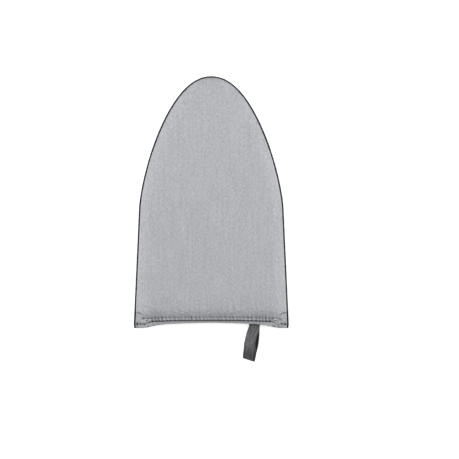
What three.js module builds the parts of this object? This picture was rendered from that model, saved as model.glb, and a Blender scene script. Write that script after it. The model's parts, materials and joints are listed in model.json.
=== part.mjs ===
// Handheld ironing pad: an arch-shaped foam pad with a pocket for the hand behind it. The arch is
// piped, the mouth is bound, elastic gathers the pocket's mouth, and a webbing loop hangs it up.
// Millimetres, +Z up. The pad lies on its pocket, face up. +Y runs from the mouth to the tip, and
// the origin is the middle of the pad's length, on the surface that the pad lies on.

import * as THREE from "three";
import { mergeVertices } from "three/addons/utils/BufferGeometryUtils.js";

// Outline, over the piping
const padLength = 400; // mouth corners to tip
const mouthWidth = 246.8; // widest, at the mouth corners
const springWidth = 229.6; // where the straight sides turn into the arch
const archLength = 209; // from that place to the tip
const archPower = 1.545; // how gently the arch leaves the straight sides
const archRoundness = 2.09; // how blunt the tip is, where 2 is an ellipse's

// Mouth edge, which gathers draw up between two straight corners
const mouthBow = 8.4; // rise of the edge's middle over its corners
const bowReach = 28; // how far up the pad the rise dies away
const bowPower = 1.5; // how fast it dies away
const bowSpreadShare = 0.5; // share of the rise that spreads over the whole width
const bowStartShare = 0.93; // where the rest starts, as a share of the half width
const bowEndShare = 0.6; // where it is all there

// Layers
const clothThickness = 0.6; // face, pocket and bindings
const liningThickness = 0.4;
const foamThickness = 10;
const layerGap = 0.3; // clearance between layers that are sewn face to face

// Seam round the arch
const seamHeight = 8; // middle of the piping, above the surface that the pad lies on
const pipingDiameter = 3;
const pipingWall = 0.4; // cloth round the cord
const pipingCordDiameter = 1.6;
const flangeWidth = 8; // the piping's seam allowance
const flangeThickness = 0.6;

// Padding
const sideShoulder = 24; // width over which the face rolls down to the seam
const mouthShoulder = 20; // the same at the mouth
const shoulderPower = 2.5; // how full the roll is
const crownHeight = 1.5; // what the middle stands over the shoulders
const crownReach = 90; // how far in from the seam the crown still climbs
const hemDepth = 14.5; // flat cloth between the mouth edge and the padding
const foamSetBack = 3; // the foam's end, from where the cloth starts to climb
const mouthLift = 8.5; // how far the gathers arch the mouth's middle over its corners
const liftReach = 150; // how far up the pad that arch dies away
const hemDrop = 6; // how far the edge curls down in the middle

// Binding along the face's mouth edge
const bindingDepth = 8;

// Pocket, with elastic in a casing along its mouth edge
const pocketShoulder = 30; // width over which the pocket comes down from the seam
const pocketSetBack = 4; // pocket's mouth edge, behind the face's at the corners
const pocketBow = 10; // how much further the elastic draws its middle up
const pocketBowReach = 70;
const casingDepth = 12;
const casingRamp = 13; // length over which the pocket comes off the surface for its casing
const elasticWidth = 8;
const elasticThickness = 0.8;

// Hanging loop
const webbingWidth = 20;
const webbingThickness = 1.2;
const loopRootWidth = 17.4; // the webbing's width where the seam at its root draws it in
const loopWideningShare = 0.25; // share of the loop's length in which it spreads again
const loopOffset = 68.5; // middle of the loop's root, from the pad's middle
const loopLength = 53; // free length, root to fold
const loopOverlap = 1.35; // how far its root reaches back over the line that it swings about
const loopClearance = 0.8; // between that root, as it turns, and the mouth edge
const loopSwell = 8.8; // sets how far the two runs stand apart
const loopSwellPower = 1.3; // and how near the fold they stand the furthest apart
const loopPinchShare = 0.45; // how much of that they lose by the fold, which is pressed
const loopShift = 9.1; // how far the fold lies to the side of the root
const loopShiftPower = 0.9;
const loopTurnDegrees = 17; // how far the fold is turned in plan
const loopRollDegrees = 31; // how far the webbing rolls over on its way
const loopRollShare = 0.33; // share of its length in which it does
const loopFoldRollDegrees = 9; // what is left of that at the fold
const loopUnrollShare = 0.45; // share of its length after which it rolls back
const loopFlatShare = 0.75; // and the share by which it has
const loopSettleShare = 0.3; // share of its length in which it comes down to the surface
const sewnDepth = 11; // how far the loop's ends reach in behind the binding
const sewnGap = 0.6; // webbing is stiff, and doesn't follow the cloth's curves closely

// Fineness of the meshes
const outlineSteps = 240;
const pipingArchSteps = 22;
const faceArchSteps = 14;
const liningArchSteps = 8;
const pocketArchSteps = 10;
const pipeSides = 10;
const boreSides = 6;
const foldSteps = 4;
const faceInnerColumns = 6;
const foamColumnsLeft = 2; // the face's outer columns, that the foam stays clear of
const foamRowsLeft = 1;
const pocketInnerColumns = 6;
const loopSteps = 26;
const loopColumns = 4;
const slopeShare = 1e-4; // share of the pad's length over which a slope is taken

// Worked out
const tipY = padLength / 2;
const mouthY = -padLength / 2;
const pipingRadius = pipingDiameter / 2;
const seamInset = pipingDiameter + layerGap; // edge of the sewn layers, from the outline
const sideFlare = (mouthWidth - springWidth) / 2 / (padLength - archLength);
const mouthHalf = mouthWidth / 2 - seamInset;
const slopeStep = padLength * slopeShare;

// Levels of the layers' middles, from the seam's middle. The hem's is the middle of its binding.
const liningLevel = flangeThickness / 2 + layerGap + liningThickness / 2;
const faceLevel = liningLevel + liningThickness / 2 + layerGap + clothThickness / 2;
const hemLevel = (liningLevel - liningThickness / 2 + faceLevel + clothThickness / 2) / 2;
const bindingRadius = faceLevel + clothThickness + layerGap - hemLevel;
const pocketLevel = -(flangeThickness / 2 + layerGap + clothThickness / 2);
const elasticLevel = clothThickness / 2 + layerGap + elasticThickness / 2; // over the pocket
const casingTop = elasticLevel + elasticThickness / 2 + layerGap + clothThickness / 2;
const casingBottom = -(clothThickness + layerGap);
const casingRadius = (casingTop - casingBottom) / 2;
const pocketMouthLevel = hemLevel - bindingRadius - clothThickness - layerGap - casingTop;

const clamp = (value) => Math.min(Math.max(value, 0), 1);
const smooth = (share) => clamp(share) ** 2 * (3 - 2 * clamp(share));
const mix = (from, to, share) => from + (to - from) * share;
const steps = (count) => Array.from({ length: count + 1 }, (_, i) => i / count);

// Outline

// Half the width over the piping, at a distance from the tip.
function halfWidth(fromTip) {
  const side = springWidth / 2 + sideFlare * (fromTip - archLength);
  const open = 1 - Math.max(1 - fromTip / archLength, 0) ** archPower;
  return side * open ** (1 / archRoundness);
}

// The right side's outline, moved in by a distance, at a distance from the tip.
function outlinePoint(fromTip, inset) {
  if (fromTip <= 0) return new THREE.Vector2(0, tipY - inset);
  if (fromTip > archLength) {
    const across = inset * Math.hypot(1, sideFlare);
    return new THREE.Vector2(halfWidth(fromTip) - across, tipY - fromTip);
  }
  const step = Math.min(slopeStep, fromTip / 2);
  const slope = (halfWidth(fromTip + step) - halfWidth(fromTip - step)) / (2 * step);
  const out = new THREE.Vector2(1, slope).normalize();
  return new THREE.Vector2(halfWidth(fromTip) - inset * out.x, tipY - fromTip - inset * out.y);
}

// Distances from the tip along the arch, closest where the outline turns fastest.
const archStations = (count) => steps(count).map((share) => archLength * share ** 2);

// The outline runs on past the mouth here, so that distances near its corners stay square.
const fineOutline = steps(outlineSteps).map((share) =>
  outlinePoint((padLength + bowReach) * share ** 2, 0),
);

// How far a place lies inside the edge of the sewn layers.
function insideSeam(x, y) {
  const place = new THREE.Vector2(Math.abs(x), y);
  let nearest = Infinity;
  for (let i = 0; i + 1 < fineOutline.length; i++) {
    const start = fineOutline[i];
    const along = fineOutline[i + 1].clone().sub(start);
    const share = clamp(place.clone().sub(start).dot(along) / along.lengthSq());
    nearest = Math.min(nearest, start.clone().addScaledVector(along, share).distanceTo(place));
  }
  return Math.max(nearest - seamInset, 0);
}

// Heights. A place is given by x and by how far up from the mouth line it is before the bow.

// The mouth's rise across the width: 1 in the middle and 0 at the corners.
function bowShare(x) {
  const out = Math.min(Math.abs(x) / mouthHalf, 1);
  const spread = Math.cos((out * Math.PI) / 2) ** 2;
  return mix(smooth((bowStartShare - out) / (bowStartShare - bowEndShare)), spread, bowSpreadShare);
}

const fade = (share) => (1 - clamp(share)) ** bowPower;
const bowed = (x, up) => up + mouthBow * bowShare(x) * fade(up / bowReach);
const pocketEdge = (x, up) =>
  up + (pocketSetBack + pocketBow * bowShare(x)) * fade(up / pocketBowReach);

// A point of the pad from its place and its height.
const at = (x, up, z) => new THREE.Vector3(x, mouthY + bowed(x, up), z);

const shoulder = (share) => 1 - (1 - clamp(share)) ** shoulderPower;

// How far the mouth's arch and the curl of its edge move the hem from the seam's level.
function hemShift(x, up) {
  const out = Math.abs(x) / halfWidth(padLength - Math.max(up, 0));
  const lift = mouthLift * (1 - Math.min(out, 1) ** 2) * (1 - smooth(up / liftReach));
  return lift - hemDrop * bowShare(x) * (1 - clamp(up / hemDepth)) ** 2;
}

// How far the padding pushes the face up from the hem's level.
function puff(x, up) {
  const side = insideSeam(x, mouthY + up);
  const end = up - hemDepth;
  const slab = shoulder(side / sideShoulder) * shoulder(end / mouthShoulder);
  const crown = shoulder(side / crownReach) * shoulder(end / crownReach);
  return (foamThickness + layerGap) * slab + crownHeight * crown;
}

// A point at a level over the hem's middle, square to it.
function hemPoint(x, up, level) {
  const middle = (place, inward) => at(place, inward, seamHeight + hemLevel + hemShift(place, inward));
  const along = middle(x, up + slopeStep).sub(middle(x, up - slopeStep));
  const across = middle(x + slopeStep, up).sub(middle(x - slopeStep, up));
  return middle(x, up).addScaledVector(across.cross(along).normalize(), level);
}

const liningPoint = (x, up) => hemPoint(x, up, liningLevel - hemLevel);

function facePoint(x, up) {
  const point = hemPoint(x, up, faceLevel - hemLevel);
  point.z += puff(x, up);
  return point;
}

// The pocket comes down from the seam to the surface. Near the mouth it makes room for its casing.
function pocketHeight(x, inward) {
  const casing = 1 - smooth((inward - casingDepth) / casingRamp);
  const top = seamHeight + mix(pocketLevel, pocketMouthLevel, casing);
  const bottom = clothThickness / 2 - casingBottom * casing;
  const side = insideSeam(x, mouthY + pocketEdge(x, inward));
  return mix(top, bottom, smooth(side / pocketShoulder));
}

// Meshes

// Points in rows as an open surface, with the points that fall together merged. Each four points
// are split along their shorter diagonal, so that layers that follow each other are split alike.
function surface(rows) {
  const across = rows[0].length;
  const points = rows.flat();
  const triangles = [];
  for (let j = 0; j + 1 < rows.length; j++) {
    for (let i = 0; i + 1 < across; i++) {
      const a = j * across + i;
      const [b, c, d] = [a + across, a + 1, a + across + 1];
      const split = points[a].distanceTo(points[d]) < points[b].distanceTo(points[c]);
      triangles.push(...(split ? [a, b, d, a, d, c] : [a, b, c, c, b, d]));
    }
  }
  const all = new THREE.BufferGeometry().setFromPoints(points);
  all.setIndex(triangles);
  const merged = mergeVertices(all);
  const index = [...merged.index.array];
  const kept = [];
  for (let i = 0; i < index.length; i += 3) {
    const [a, b, c] = index.slice(i, i + 3);
    if (a !== b && b !== c && c !== a) kept.push(a, b, c);
  }
  merged.setIndex(kept);
  merged.computeVertexNormals();
  return merged;
}

// The surface's points, moved along its normals.
function moved(open, distance) {
  const place = open.getAttribute("position");
  const normal = open.getAttribute("normal");
  return Array.from({ length: place.count }, (_, i) =>
    new THREE.Vector3()
      .fromBufferAttribute(place, i)
      .addScaledVector(new THREE.Vector3().fromBufferAttribute(normal, i), distance),
  );
}

// A closed body between two sets of points that share one surface's triangles.
function bodyBetween(open, upper, lower) {
  const index = [...open.index.array];
  const count = upper.length;
  const edges = new Set();
  const triangles = [...index];
  for (let i = 0; i < index.length; i += 3) {
    const [a, b, c] = index.slice(i, i + 3);
    triangles.push(count + a, count + c, count + b);
    edges.add(`${a} ${b}`).add(`${b} ${c}`).add(`${c} ${a}`);
  }
  for (const edge of edges) {
    const [from, to] = edge.split(" ").map(Number);
    if (edges.has(`${to} ${from}`)) continue;
    triangles.push(from, count + from, count + to, from, count + to, to);
  }
  const body = new THREE.BufferGeometry().setFromPoints([...upper, ...lower]);
  body.setIndex(triangles);
  body.computeVertexNormals();
  return body;
}

const thicken = (open, thickness) =>
  bodyBetween(open, moved(open, thickness / 2), moved(open, -thickness / 2));

// A section swept along a level path. Section x runs inwards and y up, and the path goes
// clockwise, so that inwards is on its right. A section may change from station to station.
function sweep(stations, sectionAt, boreAt) {
  const points = [];
  const triangles = [];
  const contours = boreAt ? [sectionAt, boreAt] : [sectionAt];
  const rings = contours.map((contour) =>
    stations.map((station) => {
      const first = points.length;
      const ring = contour(station);
      for (const { x, y } of ring) {
        points.push(new THREE.Vector3(0, 0, y).addScaledVector(station.inward, x).add(station.point));
      }
      return ring.map((_, i) => first + i);
    }),
  );
  for (const tube of rings) {
    for (let k = 0; k + 1 < tube.length; k++) {
      tube[k].forEach((a, i) => {
        const b = tube[k][(i + 1) % tube[k].length];
        const c = tube[k + 1][(i + 1) % tube[k].length];
        const d = tube[k + 1][i];
        triangles.push(a, c, b, a, d, c);
      });
    }
  }
  for (const end of [0, stations.length - 1]) {
    const [outer, bore] = contours.map((contour) => contour(stations[end]));
    const corners = rings.flatMap((tube) => tube[end]);
    for (const [a, b, c] of THREE.ShapeUtils.triangulateShape(outer, bore ? [bore] : [])) {
      const face = [corners[a], corners[b], corners[c]];
      triangles.push(...(end === 0 ? face : face.reverse()));
    }
  }
  const body = new THREE.BufferGeometry().setFromPoints(points);
  body.setIndex(triangles);
  body.computeVertexNormals();
  return body;
}

// Layers

// Places across a row: close together over the shoulder, then evenly to the middle. Where the row
// is too short for that, near the tip, they close up as on a circle.
function columnsOf(half, shoulderWidth, shoulderShares, innerCount) {
  const count = shoulderShares.length - 1 + innerCount;
  const inner = steps(innerCount)
    .slice(1)
    .map((share) => mix(shoulderWidth, half, share));
  const distances = [...shoulderShares.map((share) => share * shoulderWidth), ...inner];
  const right = distances.map((distance, j) => {
    const round = 1 - Math.cos((Math.PI / 2) * (j / count));
    return half - Math.min(distance, half * round);
  });
  return [...right.map((x) => -x), ...right.slice(0, -1).reverse()];
}

// Rows of places from the tip to the mouth: the arch's, then those at the distances given.
function rowsOf(archCount, upFromMouth, across) {
  const arch = archStations(archCount).map((fromTip) => outlinePoint(fromTip, seamInset));
  const sides = upFromMouth.map((up) => outlinePoint(padLength - up, seamInset));
  return [...arch, ...sides].map((edge) =>
    columnsOf(Math.max(edge.x, 0), ...across).map((x) => [x, edge.y - mouthY]),
  );
}

const straight = padLength - archLength;
const hemEnd = hemDepth + mouthShoulder;
const sideRows = (shares) => shares.map((share) => mix(straight, hemEnd, share));

// The face and lining end inside the fold of the binding.
const hemEdge = bindingRadius + clothThickness / 2;
const faceSideShares = [0.25, 0.45, 0.65, 0.85, 1];
const mouthShoulderShares = [0.6, 0.35, 0.15];
const hemRows = [hemDepth, bindingDepth + layerGap, mix(hemEdge, bindingDepth, 0.5), hemEdge];
const faceMouth = [
  ...sideRows(faceSideShares),
  ...mouthShoulderShares.map((share) => hemDepth + mouthShoulder * share),
  ...hemRows,
];
const faceShoulderShares = [0, 0.08, 0.2, 0.38, 0.62, 1];
const faceAcross = [sideShoulder, faceShoulderShares, faceInnerColumns];
const facePlaces = rowsOf(faceArchSteps, faceMouth, faceAcross);
const faceSurface = surface(facePlaces.map((row) => row.map(([x, up]) => facePoint(x, up))));
const faceBody = thicken(faceSurface, clothThickness);

const liningMouth = [...sideRows(faceSideShares), ...hemRows];
const liningPlaces = rowsOf(liningArchSteps, liningMouth, faceAcross);
const liningSurface = surface(liningPlaces.map((row) => row.map(([x, up]) => liningPoint(x, up))));
const liningBody = thicken(liningSurface, liningThickness);

// The foam fills the face from inside, short of the seam and of the mouth's climb.
function foamBody() {
  const row = facePlaces.findIndex(([[, up]]) => up <= hemDepth + foamSetBack);
  const inner = (line) => line.slice(foamColumnsLeft, line.length - foamColumnsLeft);
  const places = facePlaces.slice(foamRowsLeft, row + 1).map(inner);
  const top = surface(places.map((line) => line.map(([x, up]) => facePoint(x, up))));
  const bottom = surface(places.map((line) => line.map(([x, up]) => liningPoint(x, up))));
  const upper = moved(top, -clothThickness / 2 - layerGap);
  const lower = moved(bottom, liningThickness / 2 + layerGap);
  return bodyBetween(top, upper, lower);
}

const pocketSideShares = [0.35, 0.7, 1];
const pocketShoulderShares = [0, 0.25, 0.5, 0.75, 1];
const pocketMouth = [
  ...sideRows(pocketSideShares),
  casingDepth + casingRamp,
  casingDepth + casingRamp / 2,
  casingDepth,
  casingDepth / 2,
  casingRadius + clothThickness / 2,
];
const pocketAcross = [pocketShoulder, pocketShoulderShares, pocketInnerColumns];
const pocketPlaces = rowsOf(pocketArchSteps, pocketMouth, pocketAcross);
const pocketSurface = surface(
  pocketPlaces.map((row) =>
    row.map(([x, inward]) => at(x, pocketEdge(x, inward), pocketHeight(x, inward))),
  ),
);
const pocketBody = thicken(pocketSurface, clothThickness);

// Bindings

// Places along a folded strip's section, from the end of its upper leg round to that of its lower:
// [how far in from the folded edge, height over the strip's middle].
function foldedSection(depth, radius) {
  const centre = radius + clothThickness / 2;
  const leg = [depth, mix(depth, centre, 0.5)];
  const fold = steps(foldSteps).map((share) => {
    const turn = Math.PI * share;
    return [centre - radius * Math.sin(turn), radius * Math.cos(turn)];
  });
  return [
    ...leg.map((inward) => [inward, radius]),
    ...fold,
    ...leg.reverse().map((inward) => [inward, -radius]),
  ];
}

// A strip takes its places across from the panel that it is folded over.
function stripRows(across, section, placeOf) {
  return section.map(([inward, height]) => {
    const edge = outlinePoint(padLength - inward, seamInset);
    return columnsOf(edge.x, ...across).map((x) => placeOf(x, inward, height));
  });
}

const bindingSection = foldedSection(bindingDepth, bindingRadius);
const bindingRows = stripRows(faceAcross, bindingSection, hemPoint);
const bindingBody = thicken(surface(bindingRows), clothThickness);

const casingMiddle = (casingTop + casingBottom) / 2;
const onPocket = (x, inward, height) =>
  at(x, pocketEdge(x, inward), pocketHeight(x, inward) + height);
const casingRows = stripRows(
  pocketAcross,
  foldedSection(casingDepth, casingRadius),
  (x, inward, height) => onPocket(x, inward, casingMiddle + height),
);
const casingBody = thicken(surface(casingRows), clothThickness);

const elasticStart = (casingDepth + casingRadius - elasticWidth) / 2;
const elasticSection = [
  [elasticStart + elasticWidth, elasticLevel],
  [elasticStart, elasticLevel],
];
const elasticBody = thicken(
  surface(stripRows(pocketAcross, elasticSection, onPocket)),
  elasticThickness,
);

// Piping

const circle = (radius, sides, from, to) =>
  steps(sides).map((share) => {
    const turn = mix(from, to, share);
    return new THREE.Vector2(radius * Math.cos(turn), radius * Math.sin(turn));
  });

// Stations from the left mouth corner round the tip to the right one.
function pipingStations(archCount) {
  const snipped = layerGap / 2;
  const snip = padLength - bindingDepth - layerGap;
  const arch = archStations(archCount).map((fromTip) => [fromTip, flangeWidth]);
  const sides = [
    [snip - flangeWidth, flangeWidth],
    [snip, snipped],
    [padLength, snipped],
  ];
  const right = [...arch, ...sides].map(([fromTip, flange]) => {
    const point = outlinePoint(fromTip, pipingRadius);
    const inner = outlinePoint(fromTip, pipingDiameter);
    const inward = fromTip > archLength ? new THREE.Vector2(-1, -sideFlare) : inner.sub(point);
    return {
      point: new THREE.Vector3(point.x, point.y, seamHeight),
      inward: new THREE.Vector3(inward.x, inward.y, 0).normalize(),
      flange,
    };
  });
  const left = right.slice(1).map(({ point, inward, flange }) => ({
    point: new THREE.Vector3(-point.x, point.y, point.z),
    inward: new THREE.Vector3(-inward.x, inward.y, 0),
    flange,
  }));
  return [...left.reverse(), ...right];
}

// The cover's cloth lies round the cord and runs in as a flange between lining and pocket. The
// flange is snipped away beside the bindings.
function coverSection({ flange }) {
  const lip = Math.asin(flangeThickness / 2 / pipingRadius);
  const round = circle(pipingRadius, pipeSides, lip, 2 * Math.PI - lip);
  const end = pipingRadius * Math.cos(lip) + flange;
  return [
    ...round,
    new THREE.Vector2(end, -flangeThickness / 2),
    new THREE.Vector2(end, flangeThickness / 2),
  ];
}

const boreRadius = pipingRadius - pipingWall;
const cordRadius = pipingCordDiameter / 2;
const boreSection = () => circle(boreRadius, boreSides, 0, -2 * Math.PI).slice(0, -1);
const cordSection = () => circle(cordRadius, boreSides, 0, 2 * Math.PI).slice(0, -1);
const pipingPath = pipingStations(pipingArchSteps);
const coverBody = sweep(pipingPath, coverSection, boreSection);
const cordBody = sweep(pipingPath, cordSection);

// Hanging loop

const loopSides = [loopOffset - loopRootWidth / 2, loopOffset + loopRootWidth / 2];
const behindBinding = -(bindingRadius + clothThickness / 2 + sewnGap + webbingThickness);
const sewnEdge = Math.min(...loopSides.map((x) => hemPoint(x, hemEdge, 0).y)) - hemEdge;
const loopRoots = loopSides.map((x) => hemPoint(x, 0, behindBinding).z);
const loopRootRoll = Math.atan2(loopRoots[1] - loopRoots[0], loopRootWidth);

// The loop swings about a line outside the mouth edge, clear of it by half the root's height.
const loopRootHalf = webbingThickness + layerGap / 2 + Math.abs(loopRoots[1] - loopRoots[0]) / 2;
const loopStandOff = loopRootHalf + loopClearance;
const loopAxis = new THREE.Vector3(
  loopOffset,
  sewnEdge - loopStandOff,
  (loopRoots[0] + loopRoots[1]) / 2,
);

// How far the webbing is rolled over at a share of the loop's length.
function loopRoll(share) {
  const rolled = THREE.MathUtils.degToRad(loopRollDegrees);
  const atFold = THREE.MathUtils.degToRad(loopFoldRollDegrees);
  const back = smooth((share - loopUnrollShare) / (loopFlatShare - loopUnrollShare));
  return mix(mix(loopRootRoll, rolled, smooth(share / loopRollShare)), atFold, back);
}

// A row of the loop's webbing. The turn goes from the root of the upper run, 0, round the fold, a
// half turn, to the root of the lower run. The two runs part like the sides of a drop.
function loopRow(turn) {
  const share = (1 - Math.cos(turn)) / 2;
  const width = mix(loopRootWidth, webbingWidth, smooth(share / loopWideningShare));
  const rootGap = ((webbingThickness + layerGap) / 2) * Math.cos(turn / 2);
  const pinch = 1 - loopPinchShare * share ** 2;
  const apart = loopSwell * Math.sin(turn) * Math.sin(turn / 2) ** loopSwellPower * pinch + rootGap;
  const roll = loopRoll(share);
  const yaw = -THREE.MathUtils.degToRad(loopTurnDegrees) * share;
  const needed =
    layerGap +
    (Math.abs(apart) + webbingThickness / 2) * Math.cos(roll) +
    (width / 2) * Math.abs(Math.sin(roll));
  const centre = new THREE.Vector3(
    loopOffset - loopShift * share ** loopShiftPower,
    loopAxis.y + loopOverlap - (loopOverlap + loopLength) * share,
    mix(loopAxis.z, needed, smooth(share / loopSettleShare)),
  );
  const across = new THREE.Vector3(
    Math.cos(roll) * Math.cos(yaw),
    Math.cos(roll) * Math.sin(yaw),
    Math.sin(roll),
  );
  const outward = new THREE.Vector3(-Math.sin(roll), 0, Math.cos(roll));
  return steps(loopColumns).map((side) =>
    centre
      .clone()
      .addScaledVector(across, mix(-width, width, side) / 2)
      .addScaledVector(outward, apart),
  );
}

const loopRows = steps(loopSteps).map((share) => loopRow(2 * Math.PI * share));
const loopBody = thicken(surface(loopRows), webbingThickness);

// The loop's two ends, sewn together behind the binding, and level where they come out.
const sewnAcross = steps(loopColumns).map((side) => mix(...loopSides, side));
const sewnShares = [1, 2 / 3, 1 / 3];
const sewnRows = [
  ...sewnShares.map((share) =>
    sewnAcross.map((x) => hemPoint(x, sewnDepth * share, behindBinding)),
  ),
  ...[sewnEdge + webbingThickness, sewnEdge].map((y) =>
    sewnAcross.map((x) => new THREE.Vector3(x, y, hemPoint(x, 0, behindBinding).z)),
  ),
];
const sewnBody = thicken(surface(sewnRows), 2 * webbingThickness);

// Assembly

const finish = (color, roughness) =>
  new THREE.MeshStandardMaterial({ color, roughness, metalness: 0 });
const faceCloth = finish(0xb4b5b9, 0.85);
const liningCloth = finish(0xd4d4d2, 0.95);
const foam = finish(0xe9e4d6, 1);
const pipingCloth = finish(0x48484a, 0.8);
const cotton = finish(0xe4e2dc, 1);
const webbing = finish(0x5b5a5f, 0.75);
const rubberTape = finish(0xe8e8e8, 0.9);

function piece(name, geometry, material) {
  const mesh = new THREE.Mesh(geometry, material);
  mesh.name = name;
  return mesh;
}

const pad = new THREE.Group();
pad.add(
  piece("face_panel", faceBody, faceCloth),
  piece("foam_pad", foamBody(), foam),
  piece("palm_lining", liningBody, liningCloth),
  piece("face_binding", bindingBody, faceCloth),
  piece("piping_cover", coverBody, pipingCloth),
  piece("piping_cord", cordBody, cotton),
  piece("pocket_panel", pocketBody, faceCloth),
  piece("pocket_casing", casingBody, faceCloth),
  piece("mouth_elastic", elasticBody, rubberTape),
  piece("loop_sewn_ends", sewnBody, webbing),
);

const loop = new THREE.Group();
loop.add(piece("hanging_loop", loopBody, webbing));

const ironingPad = new THREE.Group();
ironingPad.add(pad, loop);

export default ironingPad;
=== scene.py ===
"""Looks of a handheld ironing pad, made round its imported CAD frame. Metres, +Z up.

The pad lies on its pocket, face up. +Y runs from the mouth to the tip. Every soft solid of the frame is
replaced by a detailed piece of the same form, and the threads are added.
"""

import json
import math

import bpy
import numpy as np
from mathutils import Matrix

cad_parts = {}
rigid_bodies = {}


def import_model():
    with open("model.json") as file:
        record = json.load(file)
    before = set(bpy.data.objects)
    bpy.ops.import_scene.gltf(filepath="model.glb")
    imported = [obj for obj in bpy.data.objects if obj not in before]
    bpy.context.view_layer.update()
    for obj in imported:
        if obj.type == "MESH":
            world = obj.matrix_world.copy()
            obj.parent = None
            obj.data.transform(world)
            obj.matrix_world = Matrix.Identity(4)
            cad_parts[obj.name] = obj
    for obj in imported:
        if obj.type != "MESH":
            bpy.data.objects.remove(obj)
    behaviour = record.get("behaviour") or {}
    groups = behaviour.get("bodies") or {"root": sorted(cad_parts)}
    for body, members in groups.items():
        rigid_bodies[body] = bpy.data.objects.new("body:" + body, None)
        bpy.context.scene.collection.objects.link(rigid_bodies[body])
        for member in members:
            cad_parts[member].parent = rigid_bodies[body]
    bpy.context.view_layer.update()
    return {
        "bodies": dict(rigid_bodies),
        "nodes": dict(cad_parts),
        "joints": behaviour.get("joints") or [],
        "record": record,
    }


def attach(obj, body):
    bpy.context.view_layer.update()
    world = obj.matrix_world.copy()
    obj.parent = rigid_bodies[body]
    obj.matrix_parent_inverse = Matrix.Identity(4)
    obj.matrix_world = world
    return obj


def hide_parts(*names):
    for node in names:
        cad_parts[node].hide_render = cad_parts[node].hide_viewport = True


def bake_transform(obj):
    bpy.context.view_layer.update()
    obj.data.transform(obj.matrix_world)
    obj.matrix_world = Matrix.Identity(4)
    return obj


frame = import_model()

# Lengths are in metres. A pair of numbers with no comment is where a ramp starts and how far it reaches.

# Outline, over the piping
PAD_LENGTH = 0.400
MOUTH_WIDTH = 0.2468
SPRING_WIDTH = 0.2296
ARCH_LENGTH = 0.209
ARCH_POWER = 1.545
ARCH_ROUNDNESS = 2.09
CORNER_TURN = 0.0009  # how far the seam's ends turn in at the mouth
CORNER_TURN_REACH = 0.007
TOP_CORNER = 0.034  # from the tip to where a grid's upper corners lie on the outline
ARCH_BEND = 3.0  # how late a grid's rows bend over into the tip's arch

# Mouth edge, drawn up by its gathers
MOUTH_BOW = 0.0084
BOW_REACH = 0.028
BOW_POWER = 1.5
BOW_SPREAD = 0.5
BOW_START = 0.93
BOW_END = 0.6

# Layers
CLOTH = 0.0006
LINING = 0.0004
FOAM = 0.010
GAP = 0.0003
FACE_LAP = 0.0005  # how far the face's border lies over the piping
LAP_REACH = 0.030  # past the hem, over which it comes in

# Seam round the arch
SEAM_HEIGHT = 0.008
PIPING = 0.003
PIPING_WALL = 0.0004
PIPING_CORD = 0.0016
CORD_SHARE = 0.93  # of it that the plies' middle takes
FLANGE = 0.008
FLANGE_THICKNESS = 0.0006
FLANGE_SNIP = 0.002  # over which the flange ends before the binding
PIPING_WRINKLES = (0.05, 0.004, 31)  # height as a share of the radius, size and seed
WRINKLED_TURN = 2.4  # radians each way from its outer side
END_ROUNDING = 0.94  # of threads and cords
CORD_SIDES, THREAD_SIDES = 12, 8

# Padding
SIDE_SHOULDER = 0.024
MOUTH_SHOULDER = 0.020
SHOULDER_POWER = 2.5
CROWN = 0.0015
CROWN_REACH = 0.090
HEM_DEPTH = 0.0145
FOAM_SET_BACK = 0.003
FULLER = 0.0018  # how far the cloth lies over the frame's
FULLER_UP = (0.006, 0.032)  # past the hem
FULLER_SIDE = (0.004, 0.04)  # from the seam
FOAM_INSET = 0.0035
FOAM_ROOM = 0.0003  # over the foam
FOAM_RIM = 0.0004  # its least thickness
LINING_FOLDS = (0.0009, 0.016, 11)  # height, size and seed
LINING_HANG = (0.5, 0.35)  # its mean and what its folds add, as shares of that height
LINING_DRAWN = 0.4  # how drawn out the folds are, less than 1 for longer ones
LINING_SIDE = (0.004, 0.03)  # from the seam
LINING_UP = (0.012, 0.03)  # from the mouth
MOUTH_LIFT = 0.0085  # of the face's middle over its sides, by the hand space
LIFT_REACH = 0.150
HEM_DROP = 0.006  # of the hem's edge, in its middle

# Pocket, its casing and elastic
BINDING_DEPTH = 0.008
POCKET_SHOULDER = 0.030
POCKET_SET_BACK = 0.004
POCKET_BOW = 0.010
POCKET_BOW_REACH = 0.070
POCKET_DENTS = (0.0007, 0.022, 21)  # height, size and seed
POCKET_DRAWN = 0.55  # how drawn out they are
DENT_START = 0.15
POCKET_LYING = 0.021  # from the seam to where it lies flat
CEILING_REACH = 0.01  # from the flange, over which the pocket keeps clear of the lining
CEILING_LIFT = (0.004, 0.02)  # past the flange, where the lift of the mouth leaves it more room
CASING_DEPTH = 0.012
CASING_RAMP = 0.013
ELASTIC_WIDTH = 0.008
ELASTIC_THICKNESS = 0.0008

# Hanging loop
WEBBING_WIDTH = 0.020
WEBBING = 0.0012
LOOP_ROOT_WIDTH = 0.0174
LOOP_WIDENING = 0.25
LOOP_OFFSET = 0.0685
LOOP_LENGTH = 0.053
LOOP_OVERLAP = 0.00135
LOOP_CLEARANCE = 0.0008
LOOP_SWELL = 0.0088
LOOP_SWELL_POWER = 1.3
LOOP_PINCH = 0.45
LOOP_SHIFT = 0.0091
LOOP_SHIFT_POWER = 0.9
LOOP_TURN = math.radians(17)
LOOP_ROLL = math.radians(31)
LOOP_ROLL_SHARE = 0.33
LOOP_FOLD_ROLL = math.radians(9)
LOOP_UNROLL_START = 0.45
LOOP_UNROLL_END = 0.75
LOOP_SETTLE_SHARE = 0.3
SEWN_DEPTH = 0.011
SEWN_GAP = 0.0006
LAYER_GAP = 0.00002  # half of what lies between its two layers
LAYER_SHARE = 0.97  # of the webbing's thickness that one layer takes
SELVEDGE_THIN = 0.75  # share by which its edges are thinner
SELVEDGE_POWER = 26
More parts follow.
